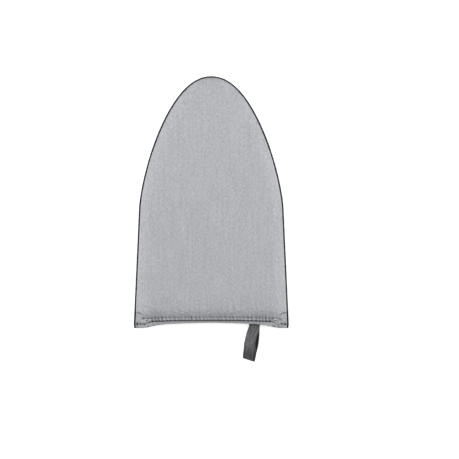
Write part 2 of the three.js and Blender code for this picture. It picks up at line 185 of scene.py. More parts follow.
LOOP_COLUMNS = (0, 0.28, 0.55, 0.8, 0.94, 0.985, 1)  # from its middle to an edge
SEWN_SHARES = (1.0, 0.78, 0.56, 0.34)  # rows of the sewn ends, as shares of their depth
LOOP_SHADE = 0.9  # how much light the painted shade takes in the loop's darkest places
LOOP_FOLD_SHADE = 0.56  # painted shade towards its fold and inside the loop, and how much darker its edges are
LOOP_FOLD_SHADE_START = 1.35
LOOP_FOLD_SHADE_REACH = 0.16  # of the webbing's whole length
LOOP_INSIDE_SHADE = 1.0
LOOP_DARK_EDGE = 0.46
LOOP_EDGE_POWER = 5

# Gathers along the mouth's topstitching
STITCH_PITCH = 0.0058
STITCH_LINE_Y = -0.1866  # the stitch line's middle
STITCH_LINE_SAG = 0.0022  # how far it falls towards the sides
STITCH_LINE_HALF = 0.0932  # half of its straight stretch
CORNER_LINE_Y = -0.1937  # the knots at the corners
CORNER_LINE_START = 0.108
STITCH_SEARCH = 0.003  # past the hem
BINDING_PAST = 0.0016  # cloth of the binding past its stitches
FOLD_BACK = 0.0034  # how far the gathers draw the mouth's fold in
FOLD_BACK_REACH = 0.006
FOLD_BACK_TURN = 1.5  # half turns of the fold to where it isn't drawn in at all
GATHER_HEIGHT = 0.0015
GATHER_REACH = 0.0075  # above the stitches
SWELL_HEIGHT = 0.0013  # of the cloth on both sides of the stitches
SWELL_END = (0.004, 0.012)  # above the stitches
GROOVE_WIDTH = 0.0010
LEAN_REACH = 0.006  # over which the gathers come to lean by LEAN
GATHER_POWER = 1.3
GATHER_BELOW = 0.0022  # how far they reach below the stitches
LONG_GATHER_BELOW = 0.009
LONG_GATHERS = (0.070, 0.090)  # where the gathers go on through the foam's edge and the fold
LONG_GATHER_FADE = 0.006
RIDGE_POWER = 0.8
CORNER_GATHER = 0.45  # share of the gathers' strength that is left at the corners
CORNER_GATHERS = (0.096, 0.012)  # out from the middle
LEAN = 0.0012
LEAN_WAVES = ((0.0009, 61, 1),)  # height, pace and start of each wave
STITCH_WAVES = ((0.16, 151, 0), (0.1, 389, 1))
TUCK_DEPTH = 0.0013  # dimples where the foam starts
TUCK_RADIUS = 0.0016
TUCK_UP = 0.0157
TUCK_STRETCH = 1.9  # how much taller those of the long gathers are
TUCK_END = 0.112
TUCK_FADE = 0.010
TUCK_LESS = 0.1
SPAN_HEIGHT = 0.0011  # of the cloth between the dimples, over the foam's edge
SPAN_START = 0.0005  # past the hem
SPAN_REACH = 0.0034
SPAN_SIDE = (0.012, 0.01)  # from the seam

# Corners of the hem, where the foam is cut off
PATCH_WIDTH = 0.012
PATCH_HEIGHT = 0.0105
PATCH_POWER = 2.5
PATCH_SINK = 0.55
PATCH_START = 0.001  # how far before the hem's end the painted shade of its crease shows
PATCH_EDGE = (0.8, 0.35)  # start and reach of its slope
PATCH_CREASE = 0.0009
PATCH_FADE = 0.4  # how much the crease comes and goes
PATCH_TURNS = 2.2
CREASE_WIDTH = 0.0015
PUCKER_HEIGHT = 0.0006  # of the uneven cloth at the corners
PUCKER_SIZE = 0.0036
PUCKER_SEED = 9
PUCKER_OUT = (0.090, 0.010)  # from the middle
PUCKER_END = 0.004  # past the hem

# Painted shade in the creases, as shares of the darkest
CREASE_SHADE = 0.83  # how much light the painted shade takes from the darkest
VALLEY_SHADE = 0.35
LONG_VALLEY_SHADE = 0.9
VALLEY_POWER = 1.5
VALLEY_START = 0.002  # from the stitches
TUCK_SHADE = 0.5
PATCH_SHADE = 0.6
HOLLOW_SHADE = 0.35
FOLD_SHADE = 0.6  # painted shade at the corners, on the mouth's fold
FOLD_SHADE_OUT = (0.094, 0.006)  # from the middle
LINE_FADE = 0.004

# Unevenness of the face: height and size of its bumps, and the seed
FACE_BUMPS = ((0.00028, 0.034, 3), (0.00010, 0.012, 4))
SEAM_BUMPS = (0.00016, 0.0045, 5)
SEAM_PULL = 0.004  # how far from the seam those reach
SEAM_PULL_UP = (0.02, 0.02)  # from the mouth
FREE_REACH = 0.03  # how far from its edges a sheet lies free

# Threads
THREAD = 0.00075
PLIES = (2, 5200.0, 0.06)  # number, turns and depth
CORD_PLIES = (3, 2600.0, 0.1)
SEAM_THREAD = 0.00032  # of the finer thread on the back
CASING_STITCH = 0.0032
CASING_STITCH_SEEN = (0.06, 0.94)  # from where to where it lies free, as shares of it
CASING_STITCH_UP = 0.0105
CASING_STITCH_END = 0.004  # from the seam
FLOOR_ROOM = 0.00005  # what stays free under the threads
TACK_WIDTH = 0.013
TACK_HEIGHT = 0.0028
TACK_UP = 0.0055
TACK_TURNS = 15
TACK_OUT = 0.2  # how far its threads stand out, in radii
TURN_REACH = 0.0017  # of the turns of thread at the needle holes
TURN_LEAST, TURN_VARIES, TURN_PACE = 0.8, 0.4, 700  # how the reach differs from hole to hole
TURN_START = -0.0004
TURN_SLANT = 0.0009
TURN_MIDDLE = 0.3
STITCH_GAP_SHARE = 0.03
KNOT_PITCH = 1.3  # in threads
KNOT_SLANT = 0.3
KNOT_WIDTHS = (0.8, 1.1)
SUNK, HIGH = 0.4, 0.8  # how deep a stitch's ends lie and how high its middle, in radii
SEAM_SUNK, SEAM_HIGH = 1.2, 0.3
KNOTS = (  # x, y, width and number of threads at one side
    (0.1169, -0.1935, 0.0030, 3),
    (0.1113, -0.1924, 0.0026, 2),
    (0.1055, -0.1945, 0.0016, 1),
    (0.1014, -0.1876, 0.0014, 1),
    (0.0997, -0.1973, 0.0014, 1),
    (0.0975, -0.1903, 0.0022, 1),
    (0.0935, -0.1894, 0.0020, 1),
)

# Slack of the sheets for the cloth simulation, and how far it may move them
SETTLE_FRAMES = 14
SHEET_SETTINGS = {
    "quality": 4, "mass": 0.3, "tension_stiffness": 20, "compression_stiffness": 20,
    "shear_stiffness": 5, "bending_stiffness": 0.3, "air_damping": 2,
}
UNDER_SETTINGS = {"thickness_outer": 0.0004, "thickness_inner": 0.004, "cloth_friction": 2}
SHEET_DISTANCE = 0.0005
FACE_SLACK = 0.045
FACE_SEAM = (0.25, 0.012)  # share of the slack at the seam, and the way over which it ends
FACE_MOUTH = 0.03  # the way over which the slack at the mouth ends
FACE_CAP = 0.0025  # how far it may move
FACE_ROOM = 0.0018  # under the face
FACE_HELD = 0.003  # how far past the hem the face is held down
FACE_FADE = (0.002, 0.014)  # where the movement comes in, past the hem
POCKET_SLACK = 0.05
POCKET_SEAM = (0.35, 0.02)
POCKET_MOUTH = 0.06
POCKET_CAP = 0.005
POCKET_ROOM = 0.0012  # kept free under the lining's folds
SEWN_WIDTH = 0.0012  # from the seam, where a sheet is held
HOLD_REACH = 0.004  # over which a sheet comes free past its hem
MOUTH_FREE = (0.01, 0.03)  # from the seam

# Folds that the elastic draws into the pocket
FOLDS_END = 0.108
FOLDS = (  # pitch, its waves, strength, its waves, sharpness, height, and reach and power of the end
    (0.0088, ((1.1, 83, 0), (0.9, 211, 2)), 0.65, ((0.35, 137, 0.5),), 1.4, 0.0022, 0.028, 1.2),
    (0.031, ((1.3, 47, 1),), 1, (), 1.5, 0.0016, 0.085, 1.5),
)

# Weaves
HEATHER_PITCH = 0.00055
LINING_PITCH = 0.00035
PIPING_PITCH = 0.0004
BAND_WIDTH = 0.0033  # of the herringbone
RIB_PITCH = 0.0021
RIB_SLANT = 1.9
PICK_PITCH = 0.00055
ELASTIC_RIB = 0.0009
ELASTIC_DRAW = 0.0007
PLY_PACE = 6200.0
CLOTH_LOOKS = (0.88, 0.25, 0.2)  # roughness, sheen and specular level
THREAD_LOOKS = (0.6, 0.1, 0.35)

# Picture
IMAGE_SIZE = 459
PIXEL = 0.0015873  # what one pixel of the photograph shows
MIDDLE_COLUMN = 211.3
TIP_ROW = 76.1
CAMERA_DISTANCE = 2.2
SENSOR = 0.036
FLOOR_HALF = 3.0
FLOOR_LEVEL = -0.0001
FLOOR_GLOW = 0.71
AMBIENT = 0.517
DARK_SIDE = 0.95  # how much less light comes in from the mouth's side, low down
DARK_TIP = 0.9
BRIGHT_SIDES = 0.3
LIGHTS = (  # name, place, size and power
    ("top_softbox", (0.0, 0.3, 0.85), (1.0, 0.7), 3.8),
    ("left_softbox", (-1.5, 0.1, 0.2), (0.4, 1.4), 18.5),
    ("right_softbox", (1.5, 0.1, 0.2), (0.4, 1.4), 18.5),
)
GREEN_SHARE = 0.15  # how far a tint's green level goes along with its blue

# Worked out
TIP_Y = PAD_LENGTH / 2
MOUTH_Y = -PAD_LENGTH / 2
SEAM_INSET = PIPING + GAP
SIDE_FLARE = (MOUTH_WIDTH - SPRING_WIDTH) / 2 / (PAD_LENGTH - ARCH_LENGTH)
MOUTH_HALF = MOUTH_WIDTH / 2 - SEAM_INSET
STEP = PAD_LENGTH * 1e-4
LINING_LEVEL = FLANGE_THICKNESS / 2 + GAP + LINING / 2
FACE_LEVEL = LINING_LEVEL + LINING / 2 + GAP + CLOTH / 2
HEM_LEVEL = (LINING_LEVEL - LINING / 2 + FACE_LEVEL + CLOTH / 2) / 2
BINDING_RADIUS = FACE_LEVEL + CLOTH + GAP - HEM_LEVEL
HEM_EDGE = BINDING_RADIUS + CLOTH / 2
POCKET_LEVEL = -(FLANGE_THICKNESS / 2 + GAP + CLOTH / 2)
ELASTIC_LEVEL = CLOTH / 2 + GAP + ELASTIC_THICKNESS / 2
CASING_TOP = ELASTIC_LEVEL + ELASTIC_THICKNESS / 2 + GAP + CLOTH / 2
CASING_BOTTOM = -(CLOTH + GAP)
CASING_RADIUS = (CASING_TOP - CASING_BOTTOM) / 2
CASING_MIDDLE = (CASING_TOP + CASING_BOTTOM) / 2
POCKET_MOUTH_LEVEL = HEM_LEVEL - BINDING_RADIUS - CLOTH - GAP - CASING_TOP


# Plain helpers

def clamp(value):
    return np.clip(value, 0, 1)


def smooth(share):
    return clamp(share) ** 2 * (3 - 2 * clamp(share))


def ramp(value, start, reach):
    """Rises smoothly from 0 at a start to 1 a reach further on."""
    return smooth((value - start) / reach)


def set_all(settings, **values):
    for key, value in values.items():
        setattr(settings, key, value)


def mix(start, end, share):
    return start + (end - start) * share


def unit(vectors):
    return vectors / np.maximum(np.linalg.norm(vectors, axis=-1, keepdims=True), 1e-12)


def ripples(x, y, size, seed, waves=14):
    """Smooth noise, mostly from -1 to 1, with bumps of about a size."""
    random = np.random.default_rng(seed)
    total = 0
    for _ in range(waves):
        angle, phase = random.uniform(0, 2 * math.pi, 2)
        pace = math.pi / (size * random.uniform(0.65, 1.6))
        total = total + np.cos((x * math.cos(angle) + y * math.sin(angle)) * pace + phase)
    return total / math.sqrt(waves)


def wander(x, waves):
    """A sum of waves, each with its height, pace and start."""
    return sum(height * np.sin(x * pace + start) for height, pace, start in waves)


def lengths_along(path):
    """The way along a path from its start, or along each column of a grid."""
    steps = np.linalg.norm(np.diff(path, axis=0), axis=-1)
    return np.concatenate([np.zeros_like(steps[:1]), np.cumsum(steps, axis=0)])


def linked(name, data):
    """A new object of the scene."""
    made = bpy.data.objects.new(name, data)
    bpy.context.scene.collection.objects.link(made)
    return made


# Outline

def half_width(from_tip):
    side = SPRING_WIDTH / 2 + SIDE_FLARE * (from_tip - ARCH_LENGTH)
    side = side - CORNER_TURN * smooth(1 - (PAD_LENGTH - from_tip) / CORNER_TURN_REACH)
    left_open = 1 - np.maximum(1 - from_tip / ARCH_LENGTH, 0) ** ARCH_POWER
    return side * np.maximum(left_open, 0) ** (1 / ARCH_ROUNDNESS)


def outline_point(from_tip, inset):
    """The right side's outline moved in by a distance: x, y and the outward direction."""
    from_tip = np.asarray(from_tip, float)
    step = np.maximum(np.minimum(STEP, from_tip / 2), 1e-9)
    slope = (half_width(from_tip + step) - half_width(from_tip - step)) / (2 * step)
    slope = np.where(from_tip > ARCH_LENGTH, SIDE_FLARE, slope)
    out = unit(np.stack([np.ones_like(slope), slope], -1))
    out = np.where((from_tip <= 1e-7)[..., None], np.array([0.0, 1.0]), out)
    on_side = from_tip > ARCH_LENGTH
    x = half_width(from_tip) - np.where(on_side, inset * math.hypot(1, SIDE_FLARE), inset * out[..., 0])
    y = TIP_Y - from_tip - np.where(on_side, 0, inset * out[..., 1])
    return x, y, out


OUTLINE_SHARES = np.linspace(0, 1, 241)
FINE_X, FINE_Y, _ = outline_point((PAD_LENGTH + BOW_REACH) * OUTLINE_SHARES**2, 0)


def inside_seam(x, y):
    """How far a place lies inside the edge of the sewn layers."""
    place = np.stack([np.abs(x).ravel(), np.ravel(y)], -1)
    nearest = np.full(len(place), np.inf)
    fine = np.stack([FINE_X, FINE_Y], -1)
    for start, end in zip(fine[:-1], fine[1:]):
        along = end - start
        share = clamp((place - start) @ along / (along @ along))
        nearest = np.minimum(nearest, np.linalg.norm(place - start - share[:, None] * along, axis=1))
    return np.maximum(nearest - SEAM_INSET, 0).reshape(np.shape(x))


# Heights, as in the frame

def bow_share(x):
    out = np.minimum(np.abs(x) / MOUTH_HALF, 1)
    spread = np.cos(out * math.pi / 2) ** 2
    return mix(smooth((BOW_START - out) / (BOW_START - BOW_END)), spread, BOW_SPREAD)


def fade(share):
    return (1 - clamp(share)) ** BOW_POWER


def bowed(x, up):
    return up + MOUTH_BOW * bow_share(x) * fade(up / BOW_REACH)


def at(x, up, z):
    return np.stack(np.broadcast_arrays(x, MOUTH_Y + bowed(x, up), z), -1)


def shoulder(share):
    return 1 - (1 - clamp(share)) ** SHOULDER_POWER


def hem_shift(x, up):
    out = np.abs(x) / half_width(PAD_LENGTH - np.maximum(up, 0))
    lift = MOUTH_LIFT * (1 - np.minimum(out, 1) ** 2) * (1 - smooth(up / LIFT_REACH))
    return lift - HEM_DROP * bow_share(x) * (1 - clamp(up / HEM_DEPTH)) ** 2


def puff(x, up):
    side = inside_seam(x, MOUTH_Y + up)
    end = up - HEM_DEPTH
    slab = shoulder(side / SIDE_SHOULDER) * shoulder(end / MOUTH_SHOULDER)
    crown = shoulder(side / CROWN_REACH) * shoulder(end / CROWN_REACH)
    return (FOAM + GAP) * slab + CROWN * crown


def patch_edge(x, up):
    """1 on the crease round the low patch in each corner, less inside it and more outside."""
    side = inside_seam(x, MOUTH_Y + up) / PATCH_WIDTH
    above = np.maximum(up - HEM_DEPTH, 0) / PATCH_HEIGHT
    return (side**PATCH_POWER + above**PATCH_POWER) ** (1 / PATCH_POWER)


def patch_crease(x, up):
    """How deep the crease round the low patch is, from 0 to 1. It comes and goes along its way."""
    near = np.exp(-(((patch_edge(x, up) - 1) * PATCH_WIDTH / CREASE_WIDTH) ** 2))
    turns = (up - HEM_DEPTH) / PATCH_HEIGHT * PATCH_TURNS
    return near * (1 - PATCH_FADE + PATCH_FADE * np.cos(turns * math.pi))


def raised(x, up):
    """The puff with the low patches in the corners, a little fuller than the frame's."""
    patch = 1 - ramp(patch_edge(x, up), *PATCH_EDGE)
    side = ramp(inside_seam(x, MOUTH_Y + up), *FULLER_SIDE)
    fuller = FULLER * side * ramp(up - HEM_DEPTH, *FULLER_UP)
    return puff(x, up) * (1 - PATCH_SINK * patch) + fuller


def hem_middle(x, up):
    return at(x, up, SEAM_HEIGHT + HEM_LEVEL + hem_shift(x, up))


def hem_point(x, up, level):
    along = hem_middle(x, up + STEP) - hem_middle(x, up - STEP)
    across = hem_middle(x + STEP, up) - hem_middle(x - STEP, up)
    normal = unit(np.cross(across, along))
    return hem_middle(x, up) + normal * np.asarray(level)[..., None]


def pocket_edge(x, inward):
    return inward + (POCKET_SET_BACK + POCKET_BOW * bow_share(x)) * fade(inward / POCKET_BOW_REACH)


def pocket_height(x, inward):
    casing = 1 - ramp(inward, CASING_DEPTH, CASING_RAMP)
    top = SEAM_HEIGHT + mix(POCKET_LEVEL, POCKET_MOUTH_LEVEL, casing)
    bottom = CLOTH / 2 - CASING_BOTTOM * casing
    side = inside_seam(x, MOUTH_Y + pocket_edge(x, inward))
    return mix(top, bottom, smooth(side / POCKET_SHOULDER))


# Gathers

GATHERS = np.random.default_rng(7)
GATHER_COUNT = 64
GATHER_HEIGHTS = GATHERS.uniform(0.6, 1.15, GATHER_COUNT)  # as shares of the usual ones
GATHER_REACHES = GATHERS.uniform(0.45, 1.5, GATHER_COUNT)


def up_where(x, y):
    """How far up from the mouth line the top of the hem lies at places seen from above."""
    ups = np.linspace(HEM_EDGE / 2, HEM_DEPTH + STITCH_SEARCH, 60)
    level = np.full(ups.shape, BINDING_RADIUS + CLOTH / 2)
    return np.array([np.interp(aim, hem_point(place, ups, level)[:, 1], ups) for place, aim in zip(x, y)])


def line_y(x):
    """y of the topstitching, as the picture shows it."""
    straight = STITCH_LINE_Y - STITCH_LINE_SAG * (x / STITCH_LINE_HALF) ** 2
    corner = ramp(x, STITCH_LINE_HALF, CORNER_LINE_START - STITCH_LINE_HALF)
    return mix(straight, CORNER_LINE_Y, corner)


STITCH_X = np.linspace(0, MOUTH_WIDTH / 2, 124)
STITCH_UP = up_where(STITCH_X, line_y(STITCH_X))


def stitch_up(x):
    """How far up from the mouth line the topstitching runs, before the bow."""
    return np.interp(np.abs(x), STITCH_X, STITCH_UP)


def stitch_phase(x, up=None):
    """Counts the stitches across the mouth: a whole number is a needle hole, and its gather leans."""
    if up is not None:
        x = x + (LEAN + wander(x, LEAN_WAVES)) * clamp((up - stitch_up(x)) / LEAN_REACH)
    return x / STITCH_PITCH + GATHER_COUNT / 2 + wander(x, STITCH_WAVES)


def long_gathers(x):
    start, end = LONG_GATHERS
    return ramp(np.abs(x), start, LONG_GATHER_FADE) * (1 - ramp(np.abs(x), end, LONG_GATHER_FADE))


def gather_parts(x, up):
    """How far from a valley (0) to a ridge (1) a place is, and how strong the gather is there."""
    past = up - stitch_up(x)
    phase = stitch_phase(x, up)
    count = np.clip(np.floor(phase).astype(int), 0, GATHER_COUNT - 1)
    ridge = np.sin(math.pi * clamp(phase - count)) ** RIDGE_POWER
    above = np.exp(-((np.maximum(past, 0) / (GATHER_REACH * GATHER_REACHES[count])) ** GATHER_POWER))
    below = np.exp(np.minimum(past, 0) / mix(GATHER_BELOW, LONG_GATHER_BELOW, long_gathers(x)))
    corner = mix(1, CORNER_GATHER, ramp(np.abs(x), *CORNER_GATHERS))
    return ridge, above * below * corner * GATHER_HEIGHTS[count]


def pucker(x, up):
    """How far the cloth at the hem's corners bulges up or down."""
    corner = ramp(np.abs(x), *PUCKER_OUT) * (1 - ramp(up, HEM_DEPTH, PUCKER_END))
    return PUCKER_HEIGHT * corner * ripples(x, up, PUCKER_SIZE, PUCKER_SEED)


def gather(x, up):
    """How far the pull of the topstitching makes the cloth beside it stand up."""
    past = up - stitch_up(x)
    ridge, strength = gather_parts(x, up)
    groove = 1 - np.exp(-((past / GROOVE_WIDTH) ** 2))
    swell = SWELL_HEIGHT * (1 - ramp(past, *SWELL_END))
    return (GATHER_HEIGHT * ridge * strength + swell) * groove + pucker(x, up)


def tuck_share(x, up):
    """1 in the middle of the dimples that end the valleys, where the foam starts."""
    phase = stitch_phase(x, up)
    nearest = np.clip(np.round(phase).astype(int), 0, GATHER_COUNT - 1)
    off = (phase - nearest) * STITCH_PITCH
    tall = mix(1, TUCK_STRETCH, long_gathers(x))
    away = off**2 + ((up - TUCK_UP) / tall) ** 2
    fall = smooth((TUCK_END - np.abs(x)) / TUCK_FADE)
    return np.exp(-away / TUCK_RADIUS**2) * fall * (GATHER_HEIGHTS[nearest] - TUCK_LESS)


def spanned(x, up):
    """How far the cloth bridges the corner between hem and foam. The valleys pull it down."""
    ridge, _ = gather_parts(x, up)
    centre = ramp(inside_seam(x, MOUTH_Y + up), *SPAN_SIDE)
    return SPAN_HEIGHT * ridge * np.exp(-(((up - HEM_DEPTH - SPAN_START) / SPAN_REACH) ** 2)) * centre


def painted_crease_shade(x, up):
    """0 to 1: painted shade in the cloth's creases: stitch line, valleys, dimples, patch creases and
    hollows.
    """
    past = up - stitch_up(x)
    ridge, strength = gather_parts(x, up)
    line = np.exp(-((past / CREASE_WIDTH) ** 4)) * (1 - ramp(np.abs(x), STITCH_LINE_HALF, LINE_FADE))
    deep = mix(VALLEY_SHADE, LONG_VALLEY_SHADE, long_gathers(x) * (past > 0))
    valley = deep * (1 - ridge) ** VALLEY_POWER * strength * smooth(np.abs(past) / VALLEY_START)
    patch = PATCH_SHADE * patch_crease(x, up) * (up > HEM_DEPTH - PATCH_START)
    hollow = HOLLOW_SHADE * clamp(-pucker(x, up) / PUCKER_HEIGHT)
    return clamp(line + valley + TUCK_SHADE * tuck_share(x, up) + patch + hollow)


def pocket_fold(x, inward):
    """How far the elastic's folds lift the pocket off the surface that the pad lies on."""
    past = np.maximum(inward - CASING_DEPTH, 0)
    total = 0
    for pitch, waves, strength, strength_waves, sharpness, height, reach, power in FOLDS:
        fold = 0.5 - 0.5 * np.cos(2 * math.pi * x / pitch + wander(x, waves))
        strong = strength + wander(x, strength_waves)
        total = total + height * fold**sharpness * strong * np.exp(-((past / reach) ** power))
    return smooth((FOLDS_END - np.abs(x)) / FREE_REACH) * total


# Places on the arch

def arch_places(columns, rows, inset, side_from, lap=0.0):
    """x and up of a grid over the arch, whose border goes out by a lap past the hem.

    Columns go from -1 to 1, and rows from 0 at the mouth to 1 at the tip.
    """
    across = np.asarray(columns)[None, :]
    along = np.asarray(rows)[:, None]
    from_tip = mix(PAD_LENGTH - side_from, TOP_CORNER, along)
    lapped = lap * ramp(PAD_LENGTH - from_tip, HEM_DEPTH, LAP_REACH)
    side_x, side_y, _ = outline_point(from_tip, inset - lapped)
    top_x, top_y, _ = outline_point(TOP_CORNER * across**2, inset - lap)
    top_x = np.maximum(top_x, 0) * np.sign(across)
    corner_x, corner_y, _ = outline_point(TOP_CORNER, inset - lap)
    share = along**ARCH_BEND
    x = side_x * across + share * (top_x - corner_x * across)
    y = side_y + share * (top_y - corner_y)
    return x, y - MOUTH_Y


def rows_of(*stretches):
    """Shares along the arch from (distance, count) stretches, given in metres along its side."""
    whole = sum(length for length, _ in stretches)
    rows, start = [np.zeros(1)], 0.0
    for length, count in stretches:
        rows.append(np.linspace(start, start + length, count + 1)[1:])
        start += length
    return np.concatenate(rows) / whole


def even(count):
    return np.linspace(-1, 1, count)


# Meshes

def mesh_piece(name, points, faces, uvs, material, painted_shades=None):
    """A piece from points, faces as rows of point numbers, a uv, and maybe a share of painted shade per
    point.
    """
    mesh = bpy.data.meshes.new(name)
    mesh.from_pydata(points.reshape(-1, 3).tolist(), [], [tuple(f) for f in faces])
    layer = mesh.uv_layers.new(name="cloth")
    corners = np.zeros(len(mesh.loops), np.int32)
    mesh.loops.foreach_get("vertex_index", corners)
    layer.data.foreach_set("uv", uvs.reshape(-1, 2)[corners].astype(np.float32).ravel())
    mesh.polygons.foreach_set("use_smooth", [True] * len(mesh.polygons))
    if painted_shades is not None:
        values = mesh.attributes.new("painted_shade", "FLOAT", "POINT")
        values.data.foreach_set("value", np.asarray(painted_shades, np.float32).ravel())
    mesh.materials.append(material)
    mesh.update()
    mesh.validate()
    return linked(name, mesh)


def grid_faces(rows, columns, first=0, close_columns=False, flip=False):
    """Quads of a grid. Their normals point up where rows run along +Y and columns along +X."""
    j = np.arange(rows - 1)[:, None]
    i = np.arange(columns if close_columns else columns - 1)[None, :]
    a = j * columns + i
    b = j * columns + (i + 1) % columns
    quads = np.stack(np.broadcast_arrays(a, b, b + columns, a + columns), -1).reshape(-1, 4) + first
    return quads[:, ::-1] if flip else quads


def grid_normals(points):
    along = np.gradient(points, axis=0)
    across = np.gradient(points, axis=1)
    return unit(np.cross(across, along))


def shell_piece(name, upper, lower, uvs, material, painted_shades=None):
    """A closed piece between the grids of its upper and its lower side."""
    rows, columns = upper.shape[:2]
    count = rows * columns
    index = np.arange(count).reshape(rows, columns)
    rim = np.concatenate([index[0, :-1], index[:-1, -1], index[-1, :0:-1], index[:0:-1, 0]])
    after = np.roll(rim, -1)
    faces = np.concatenate([
        grid_faces(rows, columns),
        grid_faces(rows, columns, count, flip=True),
        np.stack([rim, rim + count, after + count, after], -1),
    ])
    if painted_shades is not None:
        painted_shades = np.stack([painted_shades, painted_shades])
    return mesh_piece(name, np.stack([upper, lower]), faces, np.stack([uvs, uvs]), material, painted_shades)


def cloth_piece(name, points, uvs, thickness, material, painted_shades=None):
    """A sheet of a thickness about a grid of points."""
    half = grid_normals(points) * thickness / 2
    return shell_piece(name, points + half, points - half, uvs, material, painted_shades)


def frames_along(path):
    """Directions along a path, and two square to them that turn as little as they can."""
    along = unit(np.gradient(path, axis=0))
    side = np.cross(along[0], [0.0, 0.0, 1.0])
    if np.linalg.norm(side) < 0.1:
        side = np.cross(along[0], [1.0, 0.0, 0.0])
    sides = []
    for direction in along:
        side = side - direction * (side @ direction)
        side = side / np.linalg.norm(side)
        sides.append(side)
    sides = np.array(sides)
    return along, sides, np.cross(along, sides)


def tubes_piece(name, paths, radius, material, sides, plies):
    """Round threads along paths, with domed ends. Lobes that twist along them are their plies."""
    lobes, twist, depth = plies
    points, faces, uvs, first = [], [], [], 0
    turn = np.linspace(0, 2 * math.pi, sides, endpoint=False)
    for path in paths:
        _, side, up = frames_along(path)
        length = lengths_along(path)
        end = np.minimum(length, length[-1] - length)
        dome = np.sqrt(1 - (1 - clamp(end / radius)) ** 2 * END_ROUNDING)
        ply = 1 + depth * np.cos(lobes * turn[None, :] + twist * length[:, None])
        reach = (radius * dome[:, None] * ply)[..., None]
        around = np.cos(turn)[:, None] * side[:, None, :] + np.sin(turn)[:, None] * up[:, None, :]
        points.append((path[:, None, :] + reach * around).reshape(-1, 3))
        uv = np.stack(np.broadcast_arrays(length[:, None], turn[None, :] * radius), -1)
        uvs.append(uv.reshape(-1, 2))
        last = first + (len(path) - 1) * sides
        faces += [tuple(f) for f in grid_faces(len(path), sides, first, close_columns=True)]
        faces.append(tuple(range(first + sides - 1, first - 1, -1)))
        faces.append(tuple(range(last, last + sides)))
        first = last + sides
    return mesh_piece(name, np.concatenate(points), faces, np.concatenate(uvs), material)


# Materials

def node(tree, kind, inputs=(), **settings):
    made = tree.nodes.new("ShaderNode" + kind)
    set_all(made, **settings)
    for key, value in dict(inputs).items():
        if isinstance(value, bpy.types.NodeSocket):
            tree.links.new(value, made.inputs[key])
        else:
            made.inputs[key].default_value = value
    return made


def maths(tree, operation, first, second=0.0, third=0.0):
    return node(tree, "Math", {0: first, 1: second, 2: third}, operation=operation).outputs[0]


def grey(value, blue=0.0):
    """A colour from its red level of 0 to 255 on a screen, and how far its blue level lies over that."""
    levels = [value, value + GREEN_SHARE * blue, value + blue]
    linear = [((v / 255 + 0.055) / 1.055) ** 2.4 for v in levels]
    return (*linear, 1.0)


def material_of(name, roughness, sheen, specular):
    made = bpy.data.materials.new(name)
    made.use_nodes = True
    tree = made.node_tree
    shader = tree.nodes["Principled BSDF"]
    shader.inputs["Roughness"].default_value = roughness
    shader.inputs["Sheen Weight"].default_value = sheen
    shader.inputs["Sheen Roughness"].default_value = 0.5
    shader.inputs["Specular IOR Level"].default_value = specular
    return made, tree, shader


def uv_axes(tree):
    uv = node(tree, "UVMap", uv_map="cloth").outputs[0]
    split = node(tree, "SeparateXYZ", {0: uv})
    return uv, split.outputs[0], split.outputs[1]


def streaks(tree, uv, per_metre_x, per_metre_y, detail=2.0):
    """Noise of 0 to 1 that is drawn out along the less frequent direction."""
    scaled = node(tree, "VectorMath", {0: uv, 1: (per_metre_x, per_metre_y, 1.0)}, operation="MULTIPLY")
    noise = {"Vector": scaled.outputs[0], "Scale": 1.0, "Detail": detail, "Roughness": 0.6}
    return node(tree, "TexNoise", noise).outputs["Fac"]


def weighted(tree, terms, middle=0.5):
    """middle + the sum of weight * (value - 0.5) over the terms."""
    total = middle
    for value, weight in terms:
        total = maths(tree, "MULTIPLY_ADD", value, weight, total)
        total = maths(tree, "SUBTRACT", total, weight / 2)
    return maths(tree, "MINIMUM", maths(tree, "MAXIMUM", total, 0.0), 1.0)


def sine(tree, value, pitch):
    """A wave from -1 to 1, whose tops lie a pitch apart."""
    return maths(tree, "SINE", maths(tree, "MULTIPLY", value, 2 * math.pi / pitch))


def weave_height(tree, u, v, pitch):
    """0 to 1 over a plain weave, whose yarns lie a pitch apart."""
    crossing = maths(tree, "MULTIPLY", sine(tree, u, 2 * pitch), sine(tree, v, 2 * pitch))
    return maths(tree, "MULTIPLY_ADD", crossing, 0.5, 0.5)


def blend_colour(tree, share, dark, light):
    made = node(tree, "Mix", {0: share}, data_type="RGBA")
    made.inputs[6].default_value = dark
    made.inputs[7].default_value = light
    return made.outputs[2]


def with_painted_shade(tree, colour, shade):
    """A colour, darkened by painted shade where the cloth lies deep in a crease."""
    crease = node(tree, "Attribute", attribute_name="painted_shade").outputs["Fac"]
    lit = maths(tree, "MULTIPLY_ADD", crease, -shade, 1.0)
    return node(tree, "VectorMath", {0: colour, "Scale": lit}, operation="SCALE").outputs[0]


def textured(name, dark, light, looks, surface, shade=None):
    """A material between two colours. Looks are its roughness, sheen and specular level.

    The surface gives the height of its relief, the terms of the share of light colour, and how far and
    how strongly the relief stands out. A shade darkens the creases with painted shade.
    """
    made, tree, shader = material_of(name, *looks)
    height, terms, distance, strength = surface(tree)
    colour = blend_colour(tree, weighted(tree, terms), dark, light)
    # Painted shade in the creases, from each point's share of it
    if shade:
        colour = with_painted_shade(tree, colour, shade)
    relief = node(tree, "Bump", {"Height": height, "Distance": distance, "Strength": strength}).outputs[0]
    tree.links.new(colour, shader.inputs["Base Color"])
    tree.links.new(relief, shader.inputs["Normal"])
    return made


